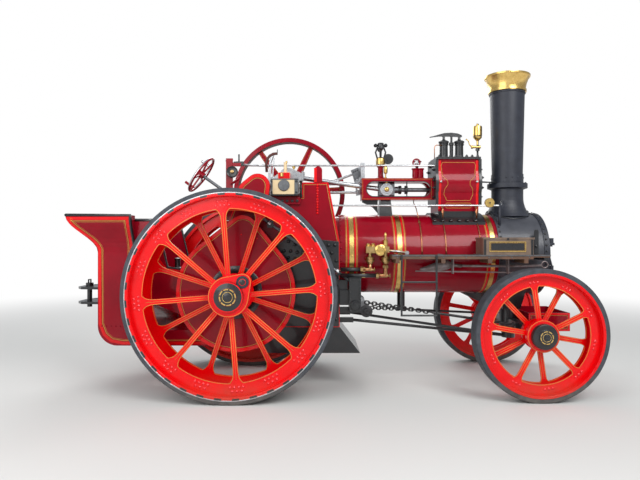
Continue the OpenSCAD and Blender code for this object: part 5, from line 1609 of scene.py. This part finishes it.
@dataclass
class Flywheel:
    """Lining and bosses of the flywheel.

    Attributes:
        near_y: Side of the rim that faces the engine.
        wide: Width of the rim.
        web: How far the spokes' faces lie inside the rim's sides.
        stand_out: How far the boss stands out of the rim's sides.
    """

    near_y: float = 0.44
    wide: float = 0.14
    web: float = 0.045
    stand_out: float = 0.006

    def build(self) -> None:
        """Lines the rim's inside, the bosses and the spokes on both sides."""
        near, far, out = self.near_y, self.near_y + self.wide, self.stand_out
        deep = self.wide - 0.012
        inner = [(0.6015, 0.0), (0.6015, deep), (0.5975, deep), (0.5975, 0.0)]
        place = stand(FACE_RIGHT, CRANK_X, far - 0.006, CRANK_Z)
        lathe("flywheel_rim_inside", inner, place, DARK_BROWN_RED, 96, "flywheel")
        for name, y, face in (("near", near - out, FACE_RIGHT), ("far", far + out, FACE_LEFT)):
            boss = [(0.052, 0.0), (0.098, 0.0), (0.098, 0.002), (0.088, 0.005), (0.052, 0.005)]
            lathe(f"flywheel_boss_{name}", boss, stand(face, CRANK_X, y, CRANK_Z), BORDER_RED, 40, "flywheel")
        for name, y, face, first, step in (
            ("near", near + self.web, FACE_RIGHT, 5.0, 60.0), ("far", far - self.web, FACE_LEFT, 175.0, -60.0)
        ):
            places = [stand(face, CRANK_X, y, CRANK_Z) @ turn(first + step * i) for i in range(6)]
            line = painted([(0.125, -0.030), (0.590, -0.019), (0.590, 0.019), (0.125, 0.030)], 0.003)
            fitted(copies(line, places), f"flywheel_lines_{name}", GOLD_LINE, "flywheel")


@dataclass
class FeedPump:
    """The pump's flanges, valves and needle, with its black pipes and copper elbows."""

    y: float = -0.495
    top: float = 1.44

    def build(self) -> None:
        """Dresses the pump."""
        y = self.y
        flange = [(0.056, 0.0), (0.056, 0.008), (0.050, 0.012), (0.024, 0.014), (0.022, 0.026), (0.0, 0.026)]
        face = stand(FACE_RIGHT, 1.43, y - 0.050, 1.405)
        lathe("pump_flange", flange, face, BRASS, 32)
        nuts("pump_flange_nuts", around(face @ shift(0, 0, 0.010), 0.043, 6), 0.016, 0.008, 0.004, BRASS)
        cap = [(0.030, 0.0), (0.030, 0.010), (0.020, 0.014), (0.020, 0.026), (0.012, 0.032), (0.0, 0.034)]
        caps = [stand(FACE_TOP, x, y, self.top) for x in (1.312, 1.362)]
        fitted(copies(turned(cap, 24), caps), "pump_valve_caps", BRASS)
        needle = [(0.026, 0.0), (0.026, 0.012), (0.0245, 0.014), (0.0245, 0.046), (0.028, 0.050), (0.028, 0.060),
                  (0.0245, 0.062), (0.011, 0.072), (0.011, 0.105), (0.016, 0.110), (0.0105, 0.120),
                  (0.0105, 0.1355), (0.004, 0.140), (0.0, 0.141)]
        lathe("pump_relief_valve", needle, stand(FACE_TOP, 1.485, y, self.top), BRASS, 24)
        valve = [(0.026, 0.0), (0.034, 0.012), (0.034, 0.0205), (0.0465, 0.0215), (0.0465, 0.034),
                 (0.0405, 0.037), (0.0405, 0.048), (0.0465, 0.051), (0.0465, 0.0625), (0.034, 0.0635),
                 (0.026, 0.072), (0.0, 0.072)]
        places = [stand(FACE_TOP, x, y, 1.268) for x in (1.33, 1.485)]
        fitted(copies(turned(valve, 28), places), "pump_check_valves", GUNMETAL)
        self.pipes()
        rod = bar([(1.515, y, 1.4), (1.60, y, 1.39), (1.70, y, 1.376)], 0.0128)
        eye = moved(turned([(0.02, 0.0), (0.02, 0.03), (0.0, 0.03)], 20), stand(FACE_RIGHT, 1.70, y + 0.015, 1.376))
        fitted(joined([rod, eye]), "pump_rod", BRIGHT_STEEL)

    def pipes(self) -> None:
        """Runs the suction and delivery pipes back from the valves, with unions and drain taps."""
        y = self.y
        elbows, pipes, unions = [], [], []
        for x, z in ((1.33, 1.21), (1.485, 1.15)):
            elbows.append(bar([(x, y, 1.275), (x, y, z), (x - 0.10, y, z)], 0.0212, 3))
            pipes.append(bar([(1.035, y, z), (x - 0.085, y, z)], 0.0215, 3))
            for place in (stand(FACE_FRONT, x - 0.095, y, z), stand(FACE_TOP, x, y, z + 0.075)):
                unions.append(moved(nut(0.060, 0.026), place))
            unions.append(bar([(x - 0.01, y, z), (x + 0.055, y, z - 0.004)], 0.008))
            unions.append(bar([(x + 0.045, y, z - 0.026), (x + 0.045, y, z + 0.022)], 0.004))
        fitted(joined(elbows), "pump_elbows", COPPER)
        fitted(joined(unions), "pump_unions", GUNMETAL)
        fitted(joined(pipes), "pump_pipes", BLACK_ENAMEL)


@dataclass
class Footboard:
    """Planks' seams, iron edge and bolts of the footboard, with the step's bolts and the shovel."""

    x0: float = 1.527
    x1: float = 2.89
    outer: float = -0.70
    top: float = 1.36

    def build(self) -> None:
        """Dresses the board, the step and the irons."""
        x0, x1, y, z = self.x0, self.x1, self.outer, self.top
        seams = [
            slab((x0 + 0.002, seam - 0.0015, z - 0.0004), (2.406, seam + 0.0015, z + 0.0006), 0.0)
            for seam in (-0.634, -0.568, -0.502)
        ]
        fitted(joined(seams), "footboard_seams", BLACK_ENAMEL)
        iron = slab((x0 - 0.003, y - 0.004, z - 0.013), (x1 - 0.004, y + 0.004, z + 0.001))
        fitted(iron, "footboard_edge_iron", DULL_STEEL)
        edge = [stand(FACE_RIGHT, x, y, z - 0.024) for x in (1.58, 1.80, 2.02, 2.24, 2.46, 2.68, 2.85)]
        rivets("footboard_edge_bolts", edge, 0.007, DULL_STEEL)
        bolts = [stand(FACE_TOP, x, side, z) for x in (1.58, 2.02, 2.38) for side in (-0.66, -0.60, -0.535, -0.47)]
        rivets("footboard_bolts", bolts, 0.009, DULL_STEEL)
        # the outer plank runs on past the box, on a bearer that a strap on the smokebox carries
        run_on = slab((x1 - 0.006, y + 0.006, 1.335), (3.055, y + 0.240, z - 0.001))
        fitted(run_on, "footboard_end_plank", PLANK)
        iron = slab((x1 - 0.004, y + 0.002, z - 0.013), (3.058, y + 0.008, z + 0.001))
        fitted(iron, "footboard_end_iron", DULL_STEEL)
        strap = plate([(2.995, 1.310), (3.040, 1.310), (3.040, 1.590), (3.034, 1.606), (3.018, 1.613),
                       (3.001, 1.606), (2.995, 1.590)], 0.012, 0.001)
        bearer = slab((2.997, y + 0.008, 1.311), (3.038, -0.438, 1.3355))
        bolt = moved(nut(0.030, 0.012, 0.006), stand(FACE_RIGHT, 3.018, -0.4405, 1.440))
        carrier = joined([moved(strap, right_face(-0.429)), bearer, bolt])
        fitted(carrier, "footboard_end_carrier", BLACK_ENAMEL)
        step = [stand(FACE_RIGHT, x, -0.716, height) for x in (1.615, 1.952) for height in (1.335, 1.30, 1.1, 0.80)]
        nuts("step_bolts", step, 0.020, 0.008, 0.004, BLACK_ENAMEL)
        self.shovel()

    def blade(self) -> Piece:
        """Bends the shovel's blade up along both sides."""
        mesh = bmesh.new()
        # place along the blade, its lower edge and its upper edge
        sections = ((1.829, 1.206, 1.222), (1.88, 1.190, 1.240), (1.93, 1.186, 1.258), (1.99, 1.189, 1.280),
                    (2.044, 1.194, 1.299), (2.115, 1.204, 1.304), (2.145, 1.222, 1.288), (2.168, 1.244, 1.268))
        rows = []
        for n, (x, low, high) in enumerate(sections):
            deep = 0.026 * math.sin(math.pi * (0.25 + 0.6 * n / 7))
            row = [(x, -0.468 - deep * (1 - (k / 4 - 1) ** 2), low + (high - low) * k / 8) for k in range(9)]
            rows.append([mesh.verts.new(at(*p)) for p in row])
        for a, b in zip(rows, rows[1:]):
            for k in range(8):
                mesh.faces.new((a[k], b[k], b[k + 1], a[k + 1]))
        blade = linked(mesh)
        pick([blade])
        thick = blade.modifiers.new("thick", "SOLIDIFY")
        thick.thickness = 0.003
        soft = blade.modifiers.new("soft", "SUBSURF")
        soft.levels = soft.render_levels = 1
        for modifier in ("thick", "soft"):
            bpy.ops.object.modifier_apply(modifier=modifier)
        return smooth(close_up(blade))

    def shovel(self) -> None:
        """Fits the shovel's shaft and the poker on their hooks, in the place of the CAD irons."""
        blade, y = self.blade(), -0.480
        socket = bar([(2.14, -0.478, 1.256), (2.19, y, 1.250), (2.25, y, 1.243)], 0.0175)
        shaft = bar([(2.22, y, 1.246), (2.70, y, 1.243), (3.05, y, 1.252)], 0.0125)
        loop = [(0.032 + across, up) for across, up in arc(0.006, 0.0, 315.0, 7)]
        eye = moved(turned(loop, 24), stand(FACE_RIGHT, 3.085, y, 1.258))
        poker = bar([(1.780, -0.520, 1.196), (2.845, -0.520, 1.180)], 0.007)
        hooks = [slab((x, -0.532, 1.168), (x + 0.012, -0.464, 1.32), 0.001) for x in (2.15, 2.70)]
        whole = joined([blade, socket, shaft, eye, poker, *hooks])
        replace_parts(fitted(whole, "shovel_and_irons", WORN_STEEL), "fire_irons")


@dataclass
class NameBox:
    """Frame, blank plate, straps and hinges of the wooden box."""

    x0: float = 2.407
    x1: float = 2.89
    front: float = -0.70
    back: float = -0.4395
    low: float = 1.36
    high: float = 1.51

    def build(self) -> None:
        """Dresses the box."""
        x0, x1, y, low, high = self.x0, self.x1, self.front, self.low, self.high
        face = right_face(y - 0.0002)
        board = rectangle(x0 + 0.055, low + 0.030, x1 - 0.075, high - 0.020)
        for name, piece, finish in (
            ("box_blank_plate", plate(board, 0.004), BLACK_ENAMEL),
            ("box_plate_frame", band_between(board, inset(board, 0.008), 0.006), BRASS),
            ("box_plate_line", band_between(inset(board, 0.013), inset(board, 0.015), 0.0046), GOLD_LINE),
        ):
            fitted(moved(piece, face), name, finish)
        rivets("box_plate_screws", on_face(face @ shift(0, 0, 0.006), inset(board, 0.004)), 0.003, BRASS)
        irons = [slab((x, y - 0.003, low + 0.002), (x + 0.022, y + 0.001, high)) for x in (x0 + 0.004, x1 - 0.026)]
        fitted(joined(irons), "box_corner_irons", BLACK_ENAMEL)
        straps = [
            slab((x, -0.60, high + 0.0182), (x + 0.024, self.back, high + 0.0212)) for x in (x0 + 0.06, x1 - 0.09)
        ]
        straps.append(slab((2.630, y - 0.0105, high - 0.006), (2.652, y - 0.0075, high + 0.016)))
        fitted(joined(straps), "box_lid_straps", BLACK_ENAMEL, "box_lid")
        edge = slab((x0 - 0.010, y - 0.010, high + 0.012), (x1 + 0.010, self.back, high + 0.0195), 0.003)
        fitted(edge, "box_lid_edge", OAK, "box_lid")


@dataclass
class Steering:
    """Dress of the steering wheel, the column's collars and the worm's case."""

    top: Point = (-0.366, -0.45, 2.163)
    angle: float = 35.5
    rim: float = 0.195

    def frame_at(self, along: float) -> Matrix:
        """Gives the frame of the column at a distance down it, its z pointing up to the driver."""
        run, fall = polar(1.0, self.angle)
        way = Vector((run, 0.0, -fall))
        return Matrix.Translation(at(*self.top) + way * along) @ facing(*-way, "Y")

    def build(self) -> None:
        """Dresses the steering."""
        hub = [(0.036, 0.0), (0.036, 0.006), (0.026, 0.012), (0.018, 0.014), (0.016, 0.024), (0.0, 0.026)]
        lathe("steering_wheel_nut", hub, self.frame_at(-0.0305), BRASS, 28, "steering_wheel")
        worn = [(self.rim + across, up) for across, up in arc(0.0146, 0.0, 180.0, 12)]
        rim = turned([*worn, (self.rim - 0.013, 0.0), (self.rim + 0.013, 0.0)], 96)
        sleeve = [(0.0142, 0.0), (0.0155, 0.0), (0.0165, 0.04), (0.0155, 0.098), (0.010, 0.103), (0.0, 0.1035),
                  (0.0, 0.1005)]
        grip = moved(turned(sleeve, 24, as_drawn=True), self.frame_at(0.0) @ turn(144.0) @ shift(self.rim, 0.0, 0.018))
        bright = joined([moved(rim, self.frame_at(0.0)), grip])
        fitted(bright, "steering_wheel_worn_rim", BRIGHT_STEEL, "steering_wheel")
        collar = [(0.0165, 0.0), (0.030, 0.0), (0.030, 0.03), (0.0165, 0.03)]
        places = [self.frame_at(d) for d in (0.86, 1.70)]
        fitted(copies(turned(collar, 28), places), "column_collars", BRIGHT_STEEL, "steering_wheel")
        self.worm_case()

    def worm_case(self) -> None:
        """Adds the worm case's ribs, lid and bolts, and the chain roller's caps."""
        face = right_face(-0.5102)
        case = rectangle(1.122, 0.782, 1.238, 1.118)
        boss = [(0.050, 0.0), (0.050, 0.012), (0.044, 0.018), (0.020, 0.020), (0.018, 0.028), (0.0, 0.028)]
        ribs = [
            moved(band_between(case, inset(case, 0.016), 0.008), face),
            slab((1.112, -0.516, 1.118), (1.246, -0.384, 1.132), 0.003),
            moved(turned(boss, 32), face @ shift(1.18, 0.855)),
            slab((1.02, -0.43, 0.86), (1.112, -0.386, 1.10), 0.004),
        ]
        fitted(joined(ribs), "worm_case_ribs", BLACK_ENAMEL)
        bolts = [(x, 0.80 + 0.06 * i) for x in (1.130, 1.230) for i in range(6)]
        nuts("worm_case_bolts", on_face(face @ shift(0, 0, 0.008), bolts), 0.018, 0.008, 0.004, BLACK_ENAMEL)
        cap = [(0.062, 0.0), (0.062, 0.010), (0.050, 0.014), (0.030, 0.016), (0.026, 0.030), (0.0, 0.030)]
        ends = [stand(FACE_RIGHT, 1.293, -0.505, 0.796), stand(FACE_LEFT, 1.293, 0.505, 0.796)]
        fitted(joined([moved(turned(cap, 32), end) for end in ends]), "roller_caps", OILED_STEEL)


@dataclass
class Tender:
    """Borders, bead, rivets and lid of the tender.

    Attributes:
        half: Half of the width over the side sheets.
        back_x: Place of the back sheet.
        step_x: Place of the flare's front edge.
        flare_z: Height at which the flare starts.
        flare_high: Height of the flare.
        side_reach: How far the flare reaches out at the sides.
        back_reach: How far it reaches out at the back.
    """

    half: float = 0.48
    back_x: float = -1.40
    step_x: float = -1.042
    flare_z: float = 1.385
    flare_high: float = 0.365
    side_reach: float = 0.130
    back_reach: float = 0.27

    def build(self) -> None:
        """Dresses the tender's sides, its back and its top."""
        face = right_face(-self.half - 0.0002)
        panel = self.side_panel()
        for name, outer, inner, thick, finish in (
            ("tender_border", 0.004, 0.034, 0.0012, BORDER_RED),
            ("tender_line", 0.041, 0.046, 0.0008, GOLD_LINE),
            ("tender_fine_line", 0.054, 0.056, 0.0008, GOLD_LINE),
        ):
            both(self.on_flare(inset(panel, outer), inset(panel, inner), thick), name, finish)
        # the water cock on the tank's step, as it shows through the wheel
        cock = [(0.052, 0.0), (0.052, 0.010), (0.030, 0.016), (0.026, 0.030), (0.026, 0.085), (0.034, 0.092),
                (0.034, 0.104), (0.012, 0.110), (0.0, 0.110)]
        lathe("tank_cock", cock, stand(FACE_TOP, -0.62, -0.400, 1.215), BLACK_ENAMEL, 32)
        back_face = stand(FACE_BACK, self.back_x - 0.0002, 0.0, 0.0)
        back = rectangle(-0.455, 0.665, 0.455, 1.375)
        border = band_between(back, inset(back, 0.03), 0.0012)
        fitted(moved(border, back_face), "tender_back_border", BORDER_RED)
        fitted(moved(painted(inset(back, 0.040), 0.006), back_face), "tender_back_line", GOLD_LINE)
        rows = heads(on_face(face, grid(-1.36, -0.20, 26, 0.640)), 0.008, 0.625)
        both(rows, "tender_rivets", CRIMSON)
        self.top_bead()
        lid = [(0.15, 0.0), (0.15, 0.012), (0.13, 0.026), (0.04, 0.034), (0.0, 0.034)]
        lathe("tank_filler_lid", lid, stand(FACE_TOP, -1.12, 0.0, 1.1002), BLACK_ENAMEL, 40)
        pipe("tank_filler_handle", bow(-1.12, 0.06, 1.128, 1.16), 0.008, BLACK_ENAMEL)

    def side_panel(self) -> list[Pair]:
        """Gives the side's lined panel, counter-clockwise, with close points where it runs over the flare."""
        x = self.step_x
        low = [(-1.395, 0.66), (-1.35, 0.545), (-1.27, 0.475), (-1.15, 0.452), (-0.14, 0.452), (-0.14, 1.095),
               (-0.285, 1.172), (-0.705, 1.222), (-0.82, 1.375), (x, self.flare_z)]
        steps = [i / 14 for i in range(1, 15)]
        front = [(x, self.flare(0.0, t)[1] - 0.014 * t) for t in steps]
        top = [(x - 0.04 * i, 1.736) for i in range(1, 15)]
        back = [
            (self.back_x - self.flare(self.back_reach, t)[0] + 0.004, self.flare(0.0, t)[1] - 0.014 * t)
            for t in reversed(steps)
        ]
        return low + front + top + back

    def on_flare(self, outer: list[Pair], inner: list[Pair], thick: float) -> Piece:
        """Lays a band between two outlines of x and height on the side and its flare."""
        band = band_between(outer, inner, thick)
        for vert in band.data.vertices:
            x, z, lift = vert.co
            rise = min(max((z - self.flare_z) / self.flare_high, 0.0), 1.0)
            vert.co = at(x, -(self.half + self.flare(self.side_reach, rise)[0] + 0.0003 + lift), z)
        return close_up(band)

    def flare(self, reach: float, t: float) -> Pair:
        """Gives the flare's reach and height at a fraction of its rise."""
        return reach * (1 - math.cos(math.pi * t)) / 2, self.flare_z + t * self.flare_high

    def top_bead(self) -> None:
        """Runs the black bead round the tender's top edge and down the flare's front edges."""
        side, back, top = self.half + self.side_reach - 0.006, self.back_x - self.back_reach + 0.006, 1.750
        rise = []
        for i in range(9):
            reach, z = self.flare(self.side_reach, i / 8)
            rise.append((self.step_x + 0.008, self.half + reach - 0.005, z))
        points = [(x, -y, z) for x, y, z in rise] + [(back, -side, top), (back, side, top), *reversed(rise)]
        pipe("tender_bead", points, 0.016, BLACK_ENAMEL)
        edge = [(-1.034, 1.70), (-0.85, 1.70), (-0.80, 1.65), (-0.70, 1.23), (-0.28, 1.18), (-0.13, 1.10)]
        both(bar([(x, -0.474, z) for x, z in edge], 0.012), "tender_sheet_bead", BLACK_ENAMEL)


@dataclass
class Platform:
    """Fittings on the firebox's back and the drawbar, as such engines have."""

    back_x: float = 0.2498
    gauge: Pair = (0.10, 1.66)

    def build(self) -> None:
        """Adds gauges, cocks, the blower's handle, the fire door's furniture and the drawbar's bolts."""
        back = stand(FACE_BACK, self.back_x, 0.0, 0.0)
        self.pressure_gauge(back @ shift(*self.gauge))
        brass = []
        for y in (-0.14, -0.24):
            brass.append(on_back(back, [(y, 1.40, 0.05), (y, 1.62, 0.05)], 0.011, 3))
            for z in (1.39, 1.63):
                brass.append(moved(nut(0.042, 0.034), back @ shift(y, z)))
                brass.append(on_back(back, [(y, z, 0.0), (y, z, 0.062)], 0.014))
        fitted(joined(brass), "water_gauges", BRASS)
        points = [(0.0, 1.545, 0.0), (0.0, 1.545, 0.06), (-0.05, 1.50, 0.07), (-0.16, 1.475, 0.07)]
        fitted(on_back(back, points, 0.011), "blower_handle", BRIGHT_STEEL)
        stays = [back @ shift(x, z) for x in (-0.33, -0.24, 0.24, 0.33) for z in (0.70, 0.80, 0.90, 1.0, 1.1, 1.2)]
        rivets("firebox_stays", stays, 0.010, CRIMSON)
        knob = [(0.010, 0.0), (0.010, 0.03), (0.018, 0.036), (0.018, 0.05), (0.0, 0.056)]
        lathe("fire_door_knob", knob, stand(FACE_BACK, 0.2315, -0.10, 1.29), BRIGHT_STEEL, 20, "fire_door")
        straps = [slab((0.2275, -0.205, z - 0.018), (0.2318, 0.12, z + 0.018), 0.001) for z in (1.235, 1.345)]
        fitted(joined(straps), "fire_door_straps", OILED_STEEL, "fire_door")
        hitch = [stand(FACE_BACK, -1.4242, y, z) for y in (-0.21, -0.07, 0.07, 0.21) for z in (0.88, 0.955)]
        nuts("hitch_bolts", hitch, 0.034, 0.016, 0.008, BLACK_ENAMEL)
        pipe("drawbar_pin_handle", bow(-1.68, 0.03, 1.035, 1.075), 0.008, OILED_STEEL)

    def pressure_gauge(self, place: Matrix) -> None:
        """Turns the gauge's case and face and sets its marks and needle, without figures."""
        dial = [(0.075, 0.0), (0.082, 0.006), (0.082, 0.030), (0.074, 0.034), (0.070, 0.028), (0.0, 0.028)]
        lathe("pressure_gauge", dial, place, BRASS, 40)
        face = [(0.0695, 0.0), (0.0695, 0.0006), (0.0, 0.0006)]
        lathe("gauge_face", face, place @ shift(0, 0, 0.0282), CREAM, 40)
        needle = plate([(-0.012, -0.003), (0.056, 0.0), (-0.012, 0.003)], 0.001)
        needle = moved(needle, place @ shift(0, 0, 0.029) @ turn(215.0))
        marks = [place @ shift(0, 0, 0.0288) @ turn(-45.0 + 22.5 * i) @ shift(0.058, 0.0) for i in range(13)]
        ticks = copies(plate(rectangle(-0.006, -0.001, 0.006, 0.001), 0.0006), marks)
        fitted(joined([needle, ticks]), "gauge_marks", BLACK_ENAMEL)


@dataclass
class FrontCarriage:
    """Bolts and borders of the front axle and its tray."""

    side_y: float = -0.3002
    front_x: float = 3.4202
    low: float = 0.562
    high: float = 0.748

    def build(self) -> None:
        """Dresses the front carriage."""
        for place, x0, x1, fit, end in (
            (right_face(self.side_y), 2.992, 3.418, both, ""),
            (stand(FACE_FRONT, self.front_x, 0.0, 0.0), -0.298, 0.298, fitted, "_front"),
        ):
            side = rectangle(x0, self.low, x1, self.high)
            edge = moved(band_between(side, inset(side, 0.018), 0.001), place)
            fit(edge, f"tray_border{end}", BORDER_RED, "front_axle")
            fit(moved(painted(inset(side, 0.026), 0.004), place), f"tray_line{end}", GOLD_LINE, "front_axle")
        for name, x, face in (("front", 2.9262, FACE_FRONT), ("rear", 2.8338, FACE_BACK)):
            spots = [stand(face, x, y, z) for y in (-0.62, -0.30, 0.30, 0.62) for z in (0.598, 0.642)]
            nuts(f"axle_bolts_{name}", spots, 0.026, 0.012, 0.006, BLACK_ENAMEL, "front_axle")
        for name, y, face in (("right", -0.0245, FACE_RIGHT), ("left", 0.0245, FACE_LEFT)):
            spots = [stand(face, x, y, 0.925) for x in (2.42, 2.52, 2.62)]
            nuts(f"perch_bolts_{name}", spots, 0.030, 0.014, 0.006, BLACK_ENAMEL)


def dress_nodes() -> None:
    """Gives each CAD node its finish."""
    for finish, names in NODES.items():
        for name in names.split():
            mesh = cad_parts[name].data
            mesh.materials.clear()
            mesh.materials.append(finish.material())


def main() -> None:
    """Builds the scene in order."""
    logging.basicConfig(level=logging.INFO, format="%(name)s %(message)s")
    Studio().build()
    dress_nodes()
    for assembly in (
        REAR_WHEELS, FRONT_WHEELS, GearCovers(), Hornplates(), CrankBearing(), Boiler(), Smokebox(), Cylinder(),
        SafetyValves(), Whistle(), Controls(), Governor(), Motion(), Flywheel(), FeedPump(), Footboard(),
        NameBox(), Steering(), Tender(), Platform(), FrontCarriage(),
    ):
        log.info("assembly %s", type(assembly).__name__)
        assembly.build()


if __name__ == "__main__":
    main()
